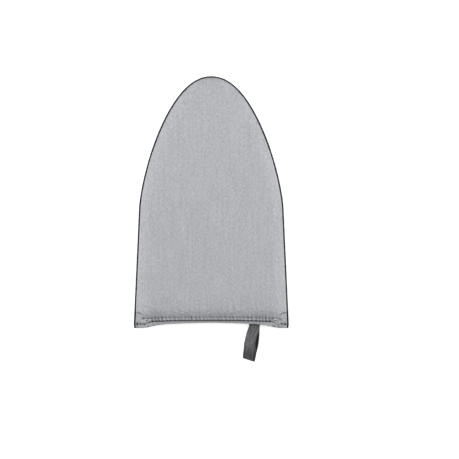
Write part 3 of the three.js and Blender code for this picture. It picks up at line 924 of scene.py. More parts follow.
def heather(tree):
    """Plain weave of yarns that are spun from light and dark fibres."""
    uv, u, v = uv_axes(tree)
    warp = streaks(tree, uv, 1500, 130)
    weave = weave_height(tree, u, v, HEATHER_PITCH)
    terms = [
        (warp, 0.9),
        (streaks(tree, uv, 150, 1500), 0.6),
        (streaks(tree, uv, 420, 300, 3.0), 1.1),
        (streaks(tree, uv, 42, 30), 0.2),
        (streaks(tree, uv, 260, 14), 0.4),
        (weave, 0.35),
    ]
    return maths(tree, "MULTIPLY_ADD", warp, 0.5, weave), terms, 0.00012, 0.8


def plain_weave(tree, pitch):
    """Even weave with little variation: piping, lining."""
    uv, u, v = uv_axes(tree)
    weave = weave_height(tree, u, v, pitch)
    terms = [(weave, 0.5), (streaks(tree, uv, 900, 900), 0.7), (streaks(tree, uv, 60, 60), 0.5)]
    return weave, terms, 0.0001, 0.8


def herringbone(tree):
    """Slanting ribs that change direction from band to band."""
    uv, u, v = uv_axes(tree)
    bands = maths(tree, "PINGPONG", maths(tree, "ADD", u, WEBBING_WIDTH), BAND_WIDTH)
    ribs = sine(tree, maths(tree, "MULTIPLY_ADD", bands, RIB_SLANT, v), RIB_PITCH)
    picks = sine(tree, u, PICK_PITCH)
    height = maths(tree, "MULTIPLY_ADD", ribs, 0.4, maths(tree, "MULTIPLY_ADD", picks, 0.12, 0.5))
    return height, [(height, 1.1), (streaks(tree, uv, 330, 60, 3.0), 1.6)], 0.0003, 1.0


def spun(tree):
    """Thread with slanting plies."""
    uv, u, v = uv_axes(tree)
    slant = maths(tree, "MULTIPLY_ADD", v, 1.6, u)
    plies = maths(tree, "SINE", maths(tree, "MULTIPLY", slant, PLY_PACE))
    height = maths(tree, "MULTIPLY_ADD", plies, 0.5, 0.5)
    return height, [(height, 0.7), (streaks(tree, uv, 700, 700), 0.6)], 0.00008, 1.0


def open_cells(tree):
    """Open-cell foam."""
    place = node(tree, "TexCoord").outputs["Object"]
    cells = node(tree, "TexVoronoi", {"Vector": place, "Scale": 900.0}).outputs["Distance"]
    clouds = node(tree, "TexNoise", {"Vector": place, "Scale": 45.0}).outputs["Fac"]
    return cells, [(cells, 1.2), (clouds, 0.7)], 0.0006, 1.0


def ribbed(tree):
    """Woven elastic: ribs along the tape, drawn together across it."""
    uv, u, v = uv_axes(tree)
    draws = maths(tree, "MULTIPLY_ADD", sine(tree, u, ELASTIC_DRAW), 0.15, 0.5)
    height = maths(tree, "MULTIPLY_ADD", sine(tree, v, ELASTIC_RIB), 0.35, draws)
    return height, [(height, 0.9), (streaks(tree, uv, 500, 500), 0.4)], 0.0002, 1.0


face_cloth = textured("heather_face_cloth", grey(148, 5), grey(206, 5), CLOTH_LOOKS, heather,
                      CREASE_SHADE)
pocket_cloth = textured("heather_pocket_cloth", grey(140, 5), grey(198, 5), CLOTH_LOOKS, heather,
                        CREASE_SHADE)
lining_cloth = textured("lining_taffeta", grey(186, 2), grey(222, 2), (0.7, 0.15, 0.25),
                        lambda tree: plain_weave(tree, LINING_PITCH))
piping_cloth = textured("piping_cloth", grey(14, 2), grey(44, 3), (0.8, 0.15, 0.25),
                        lambda tree: plain_weave(tree, PIPING_PITCH))
webbing_cloth = textured("herringbone_webbing", grey(24, 3), grey(140, 5), (0.72, 0.2, 0.3), herringbone,
                         LOOP_SHADE)
foam_cells = textured("pad_foam", grey(202, -16), grey(238, -16), (0.95, 0.0, 0.15), open_cells)
elastic_weave = textured("woven_elastic", grey(190), grey(240), (0.8, 0.1, 0.25), ribbed)
cord_cotton = textured("cotton_cord", grey(190, -8), grey(235, -8), THREAD_LOOKS, spun)
dark_thread = textured("dark_thread", grey(22, 2), grey(58, 3), THREAD_LOOKS, spun)
grey_thread = textured("grey_thread", grey(120, 5), grey(176, 5), THREAD_LOOKS, spun)


# Cloth simulation

def plain_grid(name, points):
    """A bare sheet for the simulation, with a vertex for each point of a grid."""
    mesh = bpy.data.meshes.new(name)
    mesh.from_pydata(points.reshape(-1, 3).tolist(), [], grid_faces(*points.shape[:2]).tolist())
    mesh.update()
    return linked(name, mesh)


def settled(points, held, loose, slack, room, weight):
    """How far a sheet moves as its slack gathers over what lies under it: a cloth simulation.

    held is 1 where the sheet is sewn down and loose is 1 where it has all its slack. What lies under it
    is a room further down.
    """
    sheet = plain_grid("simulated_sheet", points)
    under = plain_grid("simulated_base", points - np.array([0, 0, room]))
    under.modifiers.new("solid", "COLLISION")
    set_all(under.collision, **UNDER_SETTINGS)
    for name, shares in (("held", held), ("firm", 1 - loose)):
        group = sheet.vertex_groups.new(name=name)
        for vertex, share in enumerate(shares.ravel().tolist()):
            group.add([vertex], share, "REPLACE")
    cloth = sheet.modifiers.new("cloth", "CLOTH")
    set_all(cloth.settings, **SHEET_SETTINGS, vertex_group_mass="held", vertex_group_shrink="firm")
    set_all(cloth.settings, shrink_min=-slack, shrink_max=0)
    cloth.settings.effector_weights.gravity = weight
    cloth.collision_settings.distance_min = SHEET_DISTANCE
    cloth.point_cache.frame_end = SETTLE_FRAMES
    for frame in range(1, SETTLE_FRAMES + 1):
        bpy.context.scene.frame_set(frame)
    result = sheet.evaluated_get(bpy.context.evaluated_depsgraph_get())
    places = np.zeros(points.size, np.float32)
    result.data.vertices.foreach_get("co", places)
    for piece in (sheet, under):
        mesh = piece.data
        bpy.data.objects.remove(piece)
        bpy.data.meshes.remove(mesh)
    bpy.context.scene.frame_set(1)
    return places.reshape(points.shape) - points


def cubic_along(values, places):
    """Values of a row of samples at places between them, on a smooth curve."""
    first = np.clip(np.floor(places).astype(int), 0, len(values) - 2)
    t = (places - first).reshape(-1, *[1] * (values.ndim - 1))
    weights = (
        -0.5 * t**3 + t**2 - 0.5 * t,
        1.5 * t**3 - 2.5 * t**2 + 1,
        -1.5 * t**3 + 2 * t**2 + 0.5 * t,
        0.5 * t**3 - 0.5 * t**2,
    )
    samples = [values[np.clip(first + k, 0, len(values) - 1)] for k in (-1, 0, 1, 2)]
    return sum(weight * sample for weight, sample in zip(weights, samples))


def refined(field, rows, columns, fine_rows, fine_columns):
    """A field on a coarse grid over the arch, made smooth on a finer one."""
    tall = cubic_along(field, np.interp(fine_rows, rows, np.arange(len(rows))))
    wide = np.swapaxes(tall, 0, 1)
    return np.swapaxes(cubic_along(wide, np.interp(fine_columns, columns, np.arange(len(columns)))), 0, 1)


# Face, foam and lining

def dressed(piece):
    """Puts a piece on the pad."""
    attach(piece, "pad")
    return piece


def sewn_down(side, past):
    """1 at the seam and up to where the sheet is free, past its hem."""
    held = np.maximum((side < SEWN_WIDTH) * 1.0, 1 - smooth(past / HOLD_REACH))
    held[:, [0, -1]] = held[[0, -1]] = 1
    return held


def gathered(points, side, past, held_until, at_seam, at_mouth, slack, room, weight=0.0):
    """How a sheet moves as the slack at its seam and at its mouth gathers.

    The seam has a share of the slack and the way over which it ends, and the mouth that way alone.
    """
    share, reach = at_seam
    mouth = np.exp(-((np.maximum(past, 0) / at_mouth) ** 2)) * ramp(side, *MOUTH_FREE)
    loose = np.maximum(share * np.exp(-side / reach), mouth)
    return settled(points, sewn_down(side, past - held_until), loose, slack, room, weight)


def face_points(x, up):
    """The face cloth's middle: the frame's form with its gathers, dimples and slight unevenness."""
    points = hem_point(x, up, FACE_LEVEL - HEM_LEVEL + gather(x, up))
    y = MOUTH_Y + up
    side = inside_seam(x, y)
    past = up - HEM_DEPTH
    slack = smooth(side / FREE_REACH) * smooth(past / FREE_REACH)
    uneven = sum(height * ripples(x, y, size, seed) for height, size, seed in FACE_BUMPS)
    seam_pull = np.exp(-side / SEAM_PULL) * ramp(up, *SEAM_PULL_UP)
    height, size, seed = SEAM_BUMPS
    pull = height * ripples(x, y, size, seed)
    dents = TUCK_DEPTH * tuck_share(x, up) + PATCH_CREASE * patch_crease(x, up) * (past > 0)
    points[..., 2] += raised(x, up) - (dents - spanned(x, up)) + uneven * slack + pull * seam_pull
    return points


def drawn_in(x, up):
    """Moves the cloths' ends in the mouth's fold in by as much as the fold."""
    return up + FOLD_BACK * bow_share(x) * (1 - ramp(up, HEM_EDGE, FOLD_BACK_REACH))


def face_gathers(fine_rows, fine_columns):
    """How the face's slack gathers over the foam."""
    rows, columns = rows_of((0.030, 14), (0.055, 18), (0.200, 42), (0.081, 22)), even(91)
    x, up = arch_places(columns, rows, SEAM_INSET, HEM_EDGE, lap=FACE_LAP)
    points = hem_point(x, up, FACE_LEVEL - HEM_LEVEL)
    points[..., 2] += raised(x, up)
    side, past = inside_seam(x, MOUTH_Y + up), up - HEM_DEPTH
    moved = gathered(points, side, past, FACE_HELD, FACE_SEAM, FACE_MOUTH, FACE_SLACK, FACE_ROOM)
    moved = np.clip(moved, -FACE_CAP, FACE_CAP) * ramp(past, *FACE_FADE)[..., None]
    return refined(moved, rows, columns, fine_rows, fine_columns)


def make_face():
    rows, columns = rows_of((0.030, 46), (0.055, 30), (0.200, 62), (0.081, 46)), even(361)
    x, up = arch_places(columns, rows, SEAM_INSET, HEM_EDGE, lap=FACE_LAP)
    up = drawn_in(x, up)
    points = face_points(x, up) + face_gathers(rows, columns)
    # Painted shade in the face's creases
    painted_shades = painted_crease_shade(x, up)
    piece = cloth_piece("face_panel_cloth", points, points[..., :2], CLOTH, face_cloth, painted_shades)
    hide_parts("face_panel")
    return dressed(piece)


def make_foam():
    rows = rows_of((0.026, 14), (0.300, 40), (0.040, 14))
    x, up = arch_places(even(61), rows, SEAM_INSET + FOAM_INSET, HEM_DEPTH + FOAM_SET_BACK)
    upper = hem_point(x, up, FACE_LEVEL - HEM_LEVEL)
    upper[..., 2] += raised(x, up) - CLOTH / 2 - 2 * GAP - FOAM_ROOM
    lower = hem_point(x, up, LINING_LEVEL - HEM_LEVEL)
    lower[..., 2] += LINING / 2 + GAP
    upper[..., 2] = np.maximum(upper[..., 2], lower[..., 2] + FOAM_RIM)
    piece = shell_piece("foam_core", upper, lower, upper[..., :2], foam_cells)
    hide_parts("foam_pad")
    return dressed(piece)


def make_lining():
    rows = rows_of((0.040, 20), (0.240, 40), (0.086, 26))
    x, up = arch_places(even(101), rows, SEAM_INSET, HEM_EDGE)
    up = drawn_in(x, up)
    y = MOUTH_Y + up
    slack = ramp(inside_seam(x, y), *LINING_SIDE) * ramp(up, *LINING_UP)
    height, size, seed = LINING_FOLDS
    mean, folds = LINING_HANG
    hang = mean + folds * ripples(x, y * LINING_DRAWN, size, seed)
    points = hem_point(x, up, LINING_LEVEL - HEM_LEVEL)
    points[..., 2] -= height * np.maximum(hang, 0) * slack
    piece = cloth_piece("palm_lining_cloth", points, points[..., :2], LINING, lining_cloth)
    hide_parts("palm_lining")
    return dressed(piece)


# Strips

def section_uvs(points, x):
    """u along the strip, v by length round its section."""
    v = lengths_along(points)
    return np.stack([np.broadcast_to(x, v.shape), v], -1)


def strip_x(columns, inward):
    edge, _, _ = outline_point(PAD_LENGTH - inward, SEAM_INSET)
    return edge * columns


def make_binding():
    """The strip over the mouth edge: upper leg from its own edge, fold, and lower leg."""
    columns = even(441)
    edge_x = strip_x(columns, BINDING_DEPTH / 2)
    back = FOLD_BACK * bow_share(edge_x)
    rows, painted_shades = [], []
    for share in np.linspace(1, 0, 19)[:-1]:
        inward = mix(HEM_EDGE + back, stitch_up(edge_x) + BINDING_PAST, share)
        x = strip_x(columns, inward)
        rows.append((x, inward, BINDING_RADIUS + gather(x, inward)))
        painted_shades.append(painted_crease_shade(x, inward))
    for turn in np.linspace(0, math.pi, 13):
        centre = HEM_EDGE + back * smooth(FOLD_BACK_TURN - turn / math.pi)
        inward = centre - BINDING_RADIUS * math.sin(turn)
        x = strip_x(columns, inward)
        pulled = gather(x, centre) * smooth(1 - turn / (math.pi / 2))
        rows.append((x, inward, BINDING_RADIUS * math.cos(turn) + pulled))
        # Painted shade under the mouth's fold at the corners
        folded = FOLD_SHADE * math.sin(turn) ** 2 * ramp(np.abs(x), *FOLD_SHADE_OUT)
        painted_shades.append(clamp(painted_crease_shade(x, centre) * (turn < math.pi / 2) + folded))
    for inward in np.linspace(HEM_EDGE, BINDING_DEPTH, 7)[1:]:
        rows.append((strip_x(columns, inward), inward, -BINDING_RADIUS))
        painted_shades.append(np.zeros_like(columns))
    points = np.stack([hem_point(*row) for row in rows])[::-1]
    painted_shades = np.stack(painted_shades)[::-1]
    piece = cloth_piece("mouth_binding", points, section_uvs(points, edge_x), CLOTH, face_cloth, painted_shades)
    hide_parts("face_binding")
    return dressed(piece)


def pocket_points(x, inward, height=0.0):
    z = pocket_height(x, inward) + height + pocket_fold(x, inward)
    return at(x, pocket_edge(x, inward), z)


def pocket_gathers(fine_rows, fine_columns):
    """How the pocket's slack gathers on the surface that the pad lies on."""
    rows, columns = rows_of((0.060, 26), (0.080, 26), (0.226, 46)), even(81)
    x, inward = arch_places(columns, rows, SEAM_INSET, CASING_RADIUS + CLOTH / 2)
    points = at(x, pocket_edge(x, inward), pocket_height(x, inward))
    side, past = inside_seam(x, points[..., 1]), inward - CASING_DEPTH
    moved = gathered(points, side, past, 0, POCKET_SEAM, POCKET_MOUTH, POCKET_SLACK, POCKET_ROOM, 1.0)
    moved = np.clip(moved, (-POCKET_CAP, -POCKET_CAP, 0), POCKET_CAP)
    return refined(moved, rows, columns, fine_rows, fine_columns)


def make_pocket():
    rows, columns = rows_of((0.045, 34), (0.240, 60), (0.081, 34)), even(241)
    x, inward = arch_places(columns, rows, SEAM_INSET, CASING_RADIUS + CLOTH / 2)
    points = pocket_points(x, inward) + pocket_gathers(rows, columns)
    side = inside_seam(x, points[..., 1])
    lying = ramp(side, POCKET_LYING, FREE_REACH) * ramp(inward - CASING_DEPTH, CASING_RAMP, FREE_REACH)
    height, size, seed = POCKET_DENTS
    dents = height * np.maximum(ripples(x, inward * POCKET_DRAWN, size, seed) - DENT_START, 0)
    ceiling = SEAM_HEIGHT + POCKET_LEVEL - POCKET_ROOM * ramp(side, FLANGE, CEILING_REACH)
    mouth = smooth((POCKET_BOW_REACH - inward) / CEILING_LIFT[1]) * ramp(side - FLANGE, *CEILING_LIFT)
    points[..., 2] = np.minimum(points[..., 2] + dents * lying, ceiling + MOUTH_LIFT * mouth)
    piece = cloth_piece("pocket_back_cloth", points, points[..., :2], CLOTH, pocket_cloth)
    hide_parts("pocket_panel")
    return dressed(piece)


def pocket_strip(name, columns, section, middle, thickness, material):
    """A strip along the pocket's mouth, from its section as rows of (distance from the edge, height)."""
    rows = [pocket_points(strip_x(columns, inward), inward, height) for inward, height in section]
    points = np.stack(rows)
    uvs = section_uvs(points, strip_x(columns, middle))
    return cloth_piece(name, points, uvs, thickness, material)


def make_casing():
    centre = CASING_RADIUS + CLOTH / 2
    leg = np.linspace(CASING_DEPTH, centre, 9)[:-1]
    turns = np.linspace(0, math.pi, 11)
    section = [(inward, CASING_RADIUS) for inward in leg]
    section += [(centre - CASING_RADIUS * math.sin(a), CASING_RADIUS * math.cos(a)) for a in turns]
    section += [(inward, -CASING_RADIUS) for inward in leg[::-1]]
    section = [(inward, CASING_MIDDLE + height) for inward, height in section[::-1]]
    piece = pocket_strip("pocket_mouth_casing", even(301), section, centre, CLOTH, pocket_cloth)
    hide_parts("pocket_casing")
    return dressed(piece)


def make_elastic():
    start = (CASING_DEPTH + CASING_RADIUS - ELASTIC_WIDTH) / 2
    section = [(inward, ELASTIC_LEVEL) for inward in np.linspace(start, start + ELASTIC_WIDTH, 7)]
    piece = pocket_strip("mouth_elastic_tape", even(201), section, start, ELASTIC_THICKNESS, elastic_weave)
    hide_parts("mouth_elastic")
    return dressed(piece)


# Piping

def seam_path(inset, count):
    """Places round the arch from the left corner over the tip to the right one, and the way inward."""
    straight = np.linspace(ARCH_LENGTH, PAD_LENGTH, count)[1:]
    from_tip = np.concatenate([ARCH_LENGTH * np.linspace(0, 1, count) ** 2, straight])
    x, y, out = outline_point(from_tip, inset)
    right = np.stack([x, y, np.full_like(x, SEAM_HEIGHT)], -1)
    inward = np.stack([-out[:, 0], -out[:, 1], np.zeros_like(x)], -1)
    ups = PAD_LENGTH - from_tip
    path, inward = (np.concatenate([half[:0:-1] * [-1, 1, 1], half]) for half in (right, inward))
    return path, unit(inward), np.concatenate([ups[:0:-1], ups])


def make_piping():
    """The folded strip: round its cord, and flat where its two layers lie in the seam."""
    path, inward, ups = seam_path(PIPING / 2, 90)
    lip = math.asin(FLANGE_THICKNESS / PIPING)
    turn = np.linspace(lip, 2 * math.pi - lip, 24)
    length = lengths_along(path)[:, None]
    height, size, seed = PIPING_WRINKLES
    wrinkle = 1 + height * ripples(length, turn * size / 2, size, seed)
    radius = PIPING / 2 * np.where(np.abs(turn - math.pi) < WRINKLED_TURN, wrinkle, 1)
    snipped = ramp(ups - BINDING_DEPTH, GAP, FLANGE_SNIP)
    ends = PIPING / 2 * math.cos(lip) + mix(GAP / 2, FLANGE, snipped)[:, None] * np.ones(2)
    halves = FLANGE_THICKNESS / 2 * np.array([-1, 1]) + 0 * ends

    def around(out, height):
        return path[:, None] + out[..., None] * inward[:, None] + height[..., None] * [0, 0, 1.0]

    flat_out = np.concatenate([radius * np.cos(turn), ends], 1)
    flat_up = np.concatenate([radius * np.sin(turn), halves], 1)
    rings = around(flat_out, flat_up)
    bore_turn = np.concatenate([turn, [2 * math.pi - lip / 2, lip / 2]]) + 0 * length
    bore_radius = PIPING / 2 - PIPING_WALL
    bore = around(bore_radius * np.cos(bore_turn), bore_radius * np.sin(bore_turn))
    rows, columns = rings.shape[:2]
    count = rows * columns
    i = np.arange(columns)
    after = (i + 1) % columns
    last = (rows - 1) * columns
    faces = np.concatenate([
        grid_faces(rows, columns, 0, close_columns=True, flip=True),
        grid_faces(rows, columns, count, close_columns=True),
        np.stack([i, after, after + count, i + count], -1),
        np.stack([i + last, i + last + count, after + last + count, after + last], -1),
    ])
    around_length = np.concatenate([turn * PIPING / 2, [1.5 * FLANGE, 0]])
    uvs = np.stack(np.broadcast_arrays(length, around_length), -1)
    points, uvs = np.stack([rings, bore]), np.stack([uvs, uvs])
    piece = mesh_piece("piping_cloth_cover", points, faces, uvs, piping_cloth)
    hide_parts("piping_cover")
    return dressed(piece)


def make_piping_cord():
    path, _, _ = seam_path(PIPING / 2, 260)
    radius = PIPING_CORD / 2 * CORD_SHARE
    piece = tubes_piece("piping_filler_cord", [path], radius, cord_cotton, CORD_SIDES, CORD_PLIES)
    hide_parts("piping_cord")
    return dressed(piece)


# Hanging loop

LOOP_SIDES = (LOOP_OFFSET - LOOP_ROOT_WIDTH / 2, LOOP_OFFSET + LOOP_ROOT_WIDTH / 2)
BEHIND_BINDING = -(BINDING_RADIUS + CLOTH / 2 + SEWN_GAP + WEBBING)


def loop_axis():
    """The sewn edge's y, the swing line's y and z, and the roll of the webbing there."""
    sides = np.array(LOOP_SIDES)
    roots = hem_point(sides, 0, BEHIND_BINDING)[:, 2]
    edge = hem_point(sides, HEM_EDGE, 0)[:, 1].min() - HEM_EDGE
    tilt = abs(roots[1] - roots[0])
    stand_off = WEBBING + GAP / 2 + tilt / 2 + LOOP_CLEARANCE
    return edge, edge - stand_off, roots.mean(), math.atan2(roots[1] - roots[0], LOOP_ROOT_WIDTH)


SEWN_EDGE, AXIS_Y, AXIS_Z, ROOT_ROLL = loop_axis()


def loop_roll(share):
    rolled = mix(ROOT_ROLL, LOOP_ROLL, float(smooth(share / LOOP_ROLL_SHARE)))
    back = float(ramp(share, LOOP_UNROLL_START, LOOP_UNROLL_END - LOOP_UNROLL_START))
    return mix(rolled, LOOP_FOLD_ROLL, back)


def loop_row(turn, across_shares):
    share = (1 - math.cos(turn)) / 2
    width = mix(LOOP_ROOT_WIDTH, WEBBING_WIDTH, float(smooth(share / LOOP_WIDENING)))
    root_gap = (WEBBING + GAP) / 2 * math.cos(turn / 2)
    swell = LOOP_SWELL * (1 - LOOP_PINCH * share**2)
    apart = swell * math.sin(turn) * abs(math.sin(turn / 2)) ** LOOP_SWELL_POWER + root_gap
    roll = loop_roll(share)
    yaw = -LOOP_TURN * share
    needed = GAP + (abs(apart) + WEBBING / 2) * math.cos(roll) + width / 2 * abs(math.sin(roll))
    centre = np.array([
        LOOP_OFFSET - LOOP_SHIFT * share**LOOP_SHIFT_POWER,
        AXIS_Y + LOOP_OVERLAP - (LOOP_OVERLAP + LOOP_LENGTH) * share,
        mix(AXIS_Z, needed, float(smooth(share / LOOP_SETTLE_SHARE))),
    ])
    across = np.array([math.cos(roll) * math.cos(yaw), math.cos(roll) * math.sin(yaw), math.sin(roll)])
    outward = np.array([-math.sin(roll), 0, math.cos(roll)])
    return centre + across_shares[:, None] * across * width / 2 + outward * apart


def loop_middle():
    """The webbing's middle surface, from its upper sewn end round the fold to the lower sewn end."""
    half = np.array(LOOP_COLUMNS)
    shares = np.concatenate([-half[:0:-1], half])
    x = LOOP_OFFSET + shares * LOOP_ROOT_WIDTH / 2

    def sewn(level):
        rows = [hem_point(x, SEWN_DEPTH * share, BEHIND_BINDING + level) for share in SEWN_SHARES]
        z = hem_point(x, 0, BEHIND_BINDING)[:, 2] + level
        return rows + [np.stack([x, np.full_like(x, y), z], -1) for y in (SEWN_EDGE + WEBBING, SEWN_EDGE)]

    layer = WEBBING / 2 + LAYER_GAP
    around = [loop_row(turn, shares) for turn in np.linspace(0, 2 * math.pi, 61)]
    return np.stack(sewn(layer) + around + sewn(-layer)[::-1]), shares


def apply_modifiers(piece):
    """Keeps the mesh as its modifiers leave it."""
    graph = bpy.context.evaluated_depsgraph_get()
    made = bpy.data.meshes.new_from_object(piece.evaluated_get(graph))
    piece.modifiers.clear()
    piece.data = made


def make_loop():
    middle, shares = loop_middle()
    half = WEBBING / 2 * LAYER_SHARE * (1 - np.abs(shares) ** SELVEDGE_POWER * SELVEDGE_THIN)
    out = grid_normals(middle) * half[None, :, None]
    rings = np.concatenate([middle - out, (middle + out)[:, ::-1]], axis=1)
    rows, columns = rings.shape[:2]
    faces = [tuple(f) for f in grid_faces(rows, columns, 0, close_columns=True, flip=True)]
    half_count = columns // 2
    for first, turned in ((0, False), ((rows - 1) * columns, True)):
        for i in range(half_count - 1):
            quad = (first + i, first + i + 1, first + columns - 2 - i, first + columns - 1 - i)
            faces.append(quad[::-1] if turned else quad)
    length = lengths_along(middle[:, len(shares) // 2])
    across = np.concatenate([shares, shares[::-1]])
    uvs = np.stack(np.broadcast_arrays(across * WEBBING_WIDTH / 2, length[:, None]), -1)
    # Painted shade towards the fold and on the side of the webbing that faces into the loop; the edges are
    # darker too
    fold = LOOP_FOLD_SHADE * smooth(LOOP_FOLD_SHADE_START - np.abs(length / length[-1] - 0.5) / LOOP_FOLD_SHADE_REACH)
    inside = LOOP_INSIDE_SHADE * (np.arange(columns) >= half_count)
    painted_shades = clamp(fold[:, None] + LOOP_DARK_EDGE * np.abs(across) ** LOOP_EDGE_POWER + inside)
    piece = mesh_piece("hanging_loop_webbing", rings, faces, uvs, webbing_cloth, painted_shades)
    set_all(piece.modifiers.new("smooth_webbing", "SUBSURF"), levels=1, render_levels=1)
    apply_modifiers(piece)
    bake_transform(piece)
    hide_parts("hanging_loop", "loop_sewn_ends")
    return piece


# Threads

def binding_top(x, up):
    """Points on top of the binding's upper leg, and their normals."""
    level = BINDING_RADIUS + CLOTH / 2 + gather(x, up)
    points = hem_point(x, up, level)
    return points, unit(hem_point(x, up, level + STEP) - points)


def hole_positions(start, end):
    """x of the needle holes between two places."""
    x = np.linspace(start, end, 4001)
    crossings = np.nonzero(np.diff(np.floor(stitch_phase(x))))[0]
    return x[crossings]


def sunk(count, deep, high):
    """Heights along a stitch, in radii of its thread: deep at its ends and high between them."""
    return mix(-deep, high, np.sin(math.pi * np.linspace(0, 1, count)) ** 0.5)


def laid(x, up):
    """A thread that lies on the binding, with its ends sunk into the cloth."""
    points, normals = binding_top(x, up)
    return points + normals * (THREAD * sunk(len(x), SUNK, HIGH))[:, None]


def topstitching():
    """Long stitches in the crease, and at each needle hole a turn of thread over its upper side."""
    holes = hole_positions(-STITCH_LINE_HALF, STITCH_LINE_HALF)
    shares = np.linspace(0, 1, 9)
    paths = []
    for left, right in zip(holes[:-1], holes[1:]):
        gap = STITCH_GAP_SHARE * (right - left)
        x = mix(left + gap, right - gap, shares)
        paths.append(laid(x, stitch_up(x)))
    for hole in holes:
        reach = TURN_REACH * (TURN_LEAST + TURN_VARIES * abs(math.sin(hole * TURN_PACE)))
        up = stitch_up(hole) + mix(TURN_START, reach, shares)
        paths.append(laid(hole + TURN_SLANT * (shares - TURN_MIDDLE), up))
    return paths


def knot(x, y, width, count):
    """A small bundle of stitches on one place."""
    random = np.random.default_rng(int(abs(x) * 1e5))
    shares = np.linspace(-0.5, 0.5, 7)
    paths = []
    for k in range(count):
        slant = random.uniform(-KNOT_SLANT, KNOT_SLANT)
        x_line = x + shares * width * random.uniform(*KNOT_WIDTHS)
        y_line = y + (k - (count - 1) / 2) * KNOT_PITCH * THREAD + shares * width * slant
        paths.append(laid(x_line, up_where(x_line, y_line)))
    return paths


def casing_stitches(level, out):
    """Stitches through the pocket's casing, on its upper side (out 1) or its lower one (out -1)."""
    edge = float(strip_x(1, CASING_STITCH_UP)) - CASING_STITCH_END
    lift = out * SEAM_THREAD * sunk(7, SEAM_SUNK, SEAM_HIGH)
    paths = []
    shares = np.linspace(*CASING_STITCH_SEEN, 7)
    for start in np.arange(-edge, edge - CASING_STITCH, CASING_STITCH):
        points = pocket_points(start + CASING_STITCH * shares, CASING_STITCH_UP, level)
        points[:, 2] = np.maximum(points[:, 2] + lift, SEAM_THREAD + FLOOR_ROOM)
        paths.append(points)
    return paths


def bar_tack():
    """Dense zigzag that holds the loop's sewn ends, on their underside."""
    shares = np.linspace(0, 1, TACK_TURNS * 4 + 1)
    x = LOOP_OFFSET + mix(-TACK_WIDTH / 2, TACK_WIDTH / 2, shares)
    up = TACK_UP + TACK_HEIGHT / 2 * (2 * np.abs(2 * (shares * TACK_TURNS % 1) - 1) - 1)
    return [hem_point(x, up, BEHIND_BINDING - WEBBING - TACK_OUT * SEAM_THREAD)]


def make_threads():
    top, bottom = (CASING_MIDDLE + out * (CASING_RADIUS + CLOTH / 2) for out in (1, -1))
    through_casing = casing_stitches(top, 1) + casing_stitches(bottom, -1)
    bundles = [
        ("mouth_topstitching", topstitching(), THREAD, dark_thread),
        ("casing_topstitching", through_casing, SEAM_THREAD, grey_thread),
        ("loop_bar_tack", bar_tack(), SEAM_THREAD, dark_thread),
    ]
    for side, name in ((-1, "left"), (1, "right")):
        paths = [path for x, y, width, count in KNOTS for path in knot(side * x, y, width, count)]
        bundles.append((name + "_corner_knots", paths, THREAD, dark_thread))
    for name, paths, radius, material in bundles:
        dressed(tubes_piece(name, paths, radius, material, THREAD_SIDES, PLIES))


# Stage

def seen_directly(tree):
    """1 for rays from the camera, and for what mirrors or clear things show of it."""
    rays = node(tree, "LightPath").outputs
    seen = maths(tree, "ADD", rays["Is Camera Ray"], rays["Is Glossy Ray"])
    seen = maths(tree, "ADD", seen, rays["Is Transmission Ray"])
    return maths(tree, "MINIMUM", seen, 1.0)


def make_floor():
    mesh = bpy.data.meshes.new("floor")
    corners = [(x * FLOOR_HALF, y * FLOOR_HALF, 0) for x, y in ((-1, -1), (1, -1), (1, 1), (-1, 1))]
    mesh.from_pydata(corners, [], [(0, 1, 2, 3)])
    floor = linked("floor", mesh)
    floor.location.z = FLOOR_LEVEL
    made, tree, shader = material_of("floor_paper", 0.9, 0.0, 0.0)
    shader.inputs["Base Color"].default_value = (0.8, 0.8, 0.8, 1)
    shader.inputs["Emission Color"].default_value = (1, 1, 1, 1)
    glow = maths(tree, "MULTIPLY", seen_directly(tree), FLOOR_GLOW)
    tree.links.new(glow, shader.inputs["Emission Strength"])
    mesh.materials.append(made)


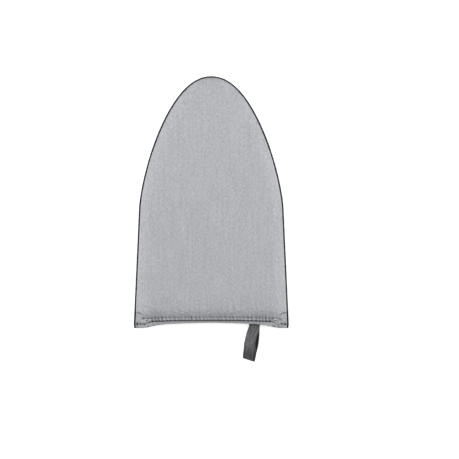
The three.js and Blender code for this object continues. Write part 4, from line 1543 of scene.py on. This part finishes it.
def make_world():
    """Even light, less from the mouth's and the tip's side and a little more from left and right."""
    world = bpy.data.worlds.new("studio")
    bpy.context.scene.world = world
    world.use_nodes = True
    tree = world.node_tree
    tree.nodes.clear()
    direction = node(tree, "TexCoord").outputs["Generated"]
    split = node(tree, "SeparateXYZ", {0: direction}).outputs
    behind = maths(tree, "MAXIMUM", maths(tree, "MULTIPLY", split[1], -1.0), 0.0)
    ahead = maths(tree, "MAXIMUM", split[1], 0.0)
    across = maths(tree, "ABSOLUTE", split[0])
    strength = 1.0
    for share, more in ((behind, -DARK_SIDE), (ahead, -DARK_TIP), (across, BRIGHT_SIDES)):
        strength = maths(tree, "MULTIPLY_ADD", share, more, strength)
    strength = maths(tree, "MULTIPLY", strength, AMBIENT)
    light = node(tree, "Background", {"Color": (1, 1, 1, 1), "Strength": strength})
    backdrop = node(tree, "Background", {"Color": (1, 1, 1, 1), "Strength": 1.0})
    mixed = node(tree, "MixShader", {0: seen_directly(tree), 1: light.outputs[0], 2: backdrop.outputs[0]})
    node(tree, "OutputWorld", {0: mixed.outputs[0]})


def area_light(name, place, size, power):
    """A softbox that faces the pad's middle."""
    data = bpy.data.lights.new(name, "AREA")
    data.shape = "RECTANGLE"
    data.size, data.size_y = size
    data.energy = power
    lamp = linked(name, data)
    lamp.location = place
    lamp.rotation_euler = lamp.location.to_track_quat("Z", "Y").to_euler()


def make_camera():
    data = bpy.data.cameras.new("photo_camera")
    camera = linked("photo_camera", data)
    x = (IMAGE_SIZE / 2 - MIDDLE_COLUMN) * PIXEL
    y = TIP_Y - (IMAGE_SIZE / 2 - TIP_ROW) * PIXEL
    camera.location = (x, y, SEAM_HEIGHT + CAMERA_DISTANCE)
    data.sensor_width = SENSOR * 1000
    data.lens = SENSOR * 1000 * CAMERA_DISTANCE / (IMAGE_SIZE * PIXEL)
    data.clip_start, data.clip_end = 0.05, 20
    bpy.context.scene.camera = camera


make_camera()
make_world()
for light in LIGHTS:
    area_light(*light)
make_floor()
bpy.context.scene.view_settings.view_transform = "Standard"

face = make_face()
make_foam()
lining = make_lining()
binding = make_binding()
pocket = make_pocket()
casing = make_casing()
make_elastic()
make_piping()
make_piping_cord()
make_loop()
make_threads()
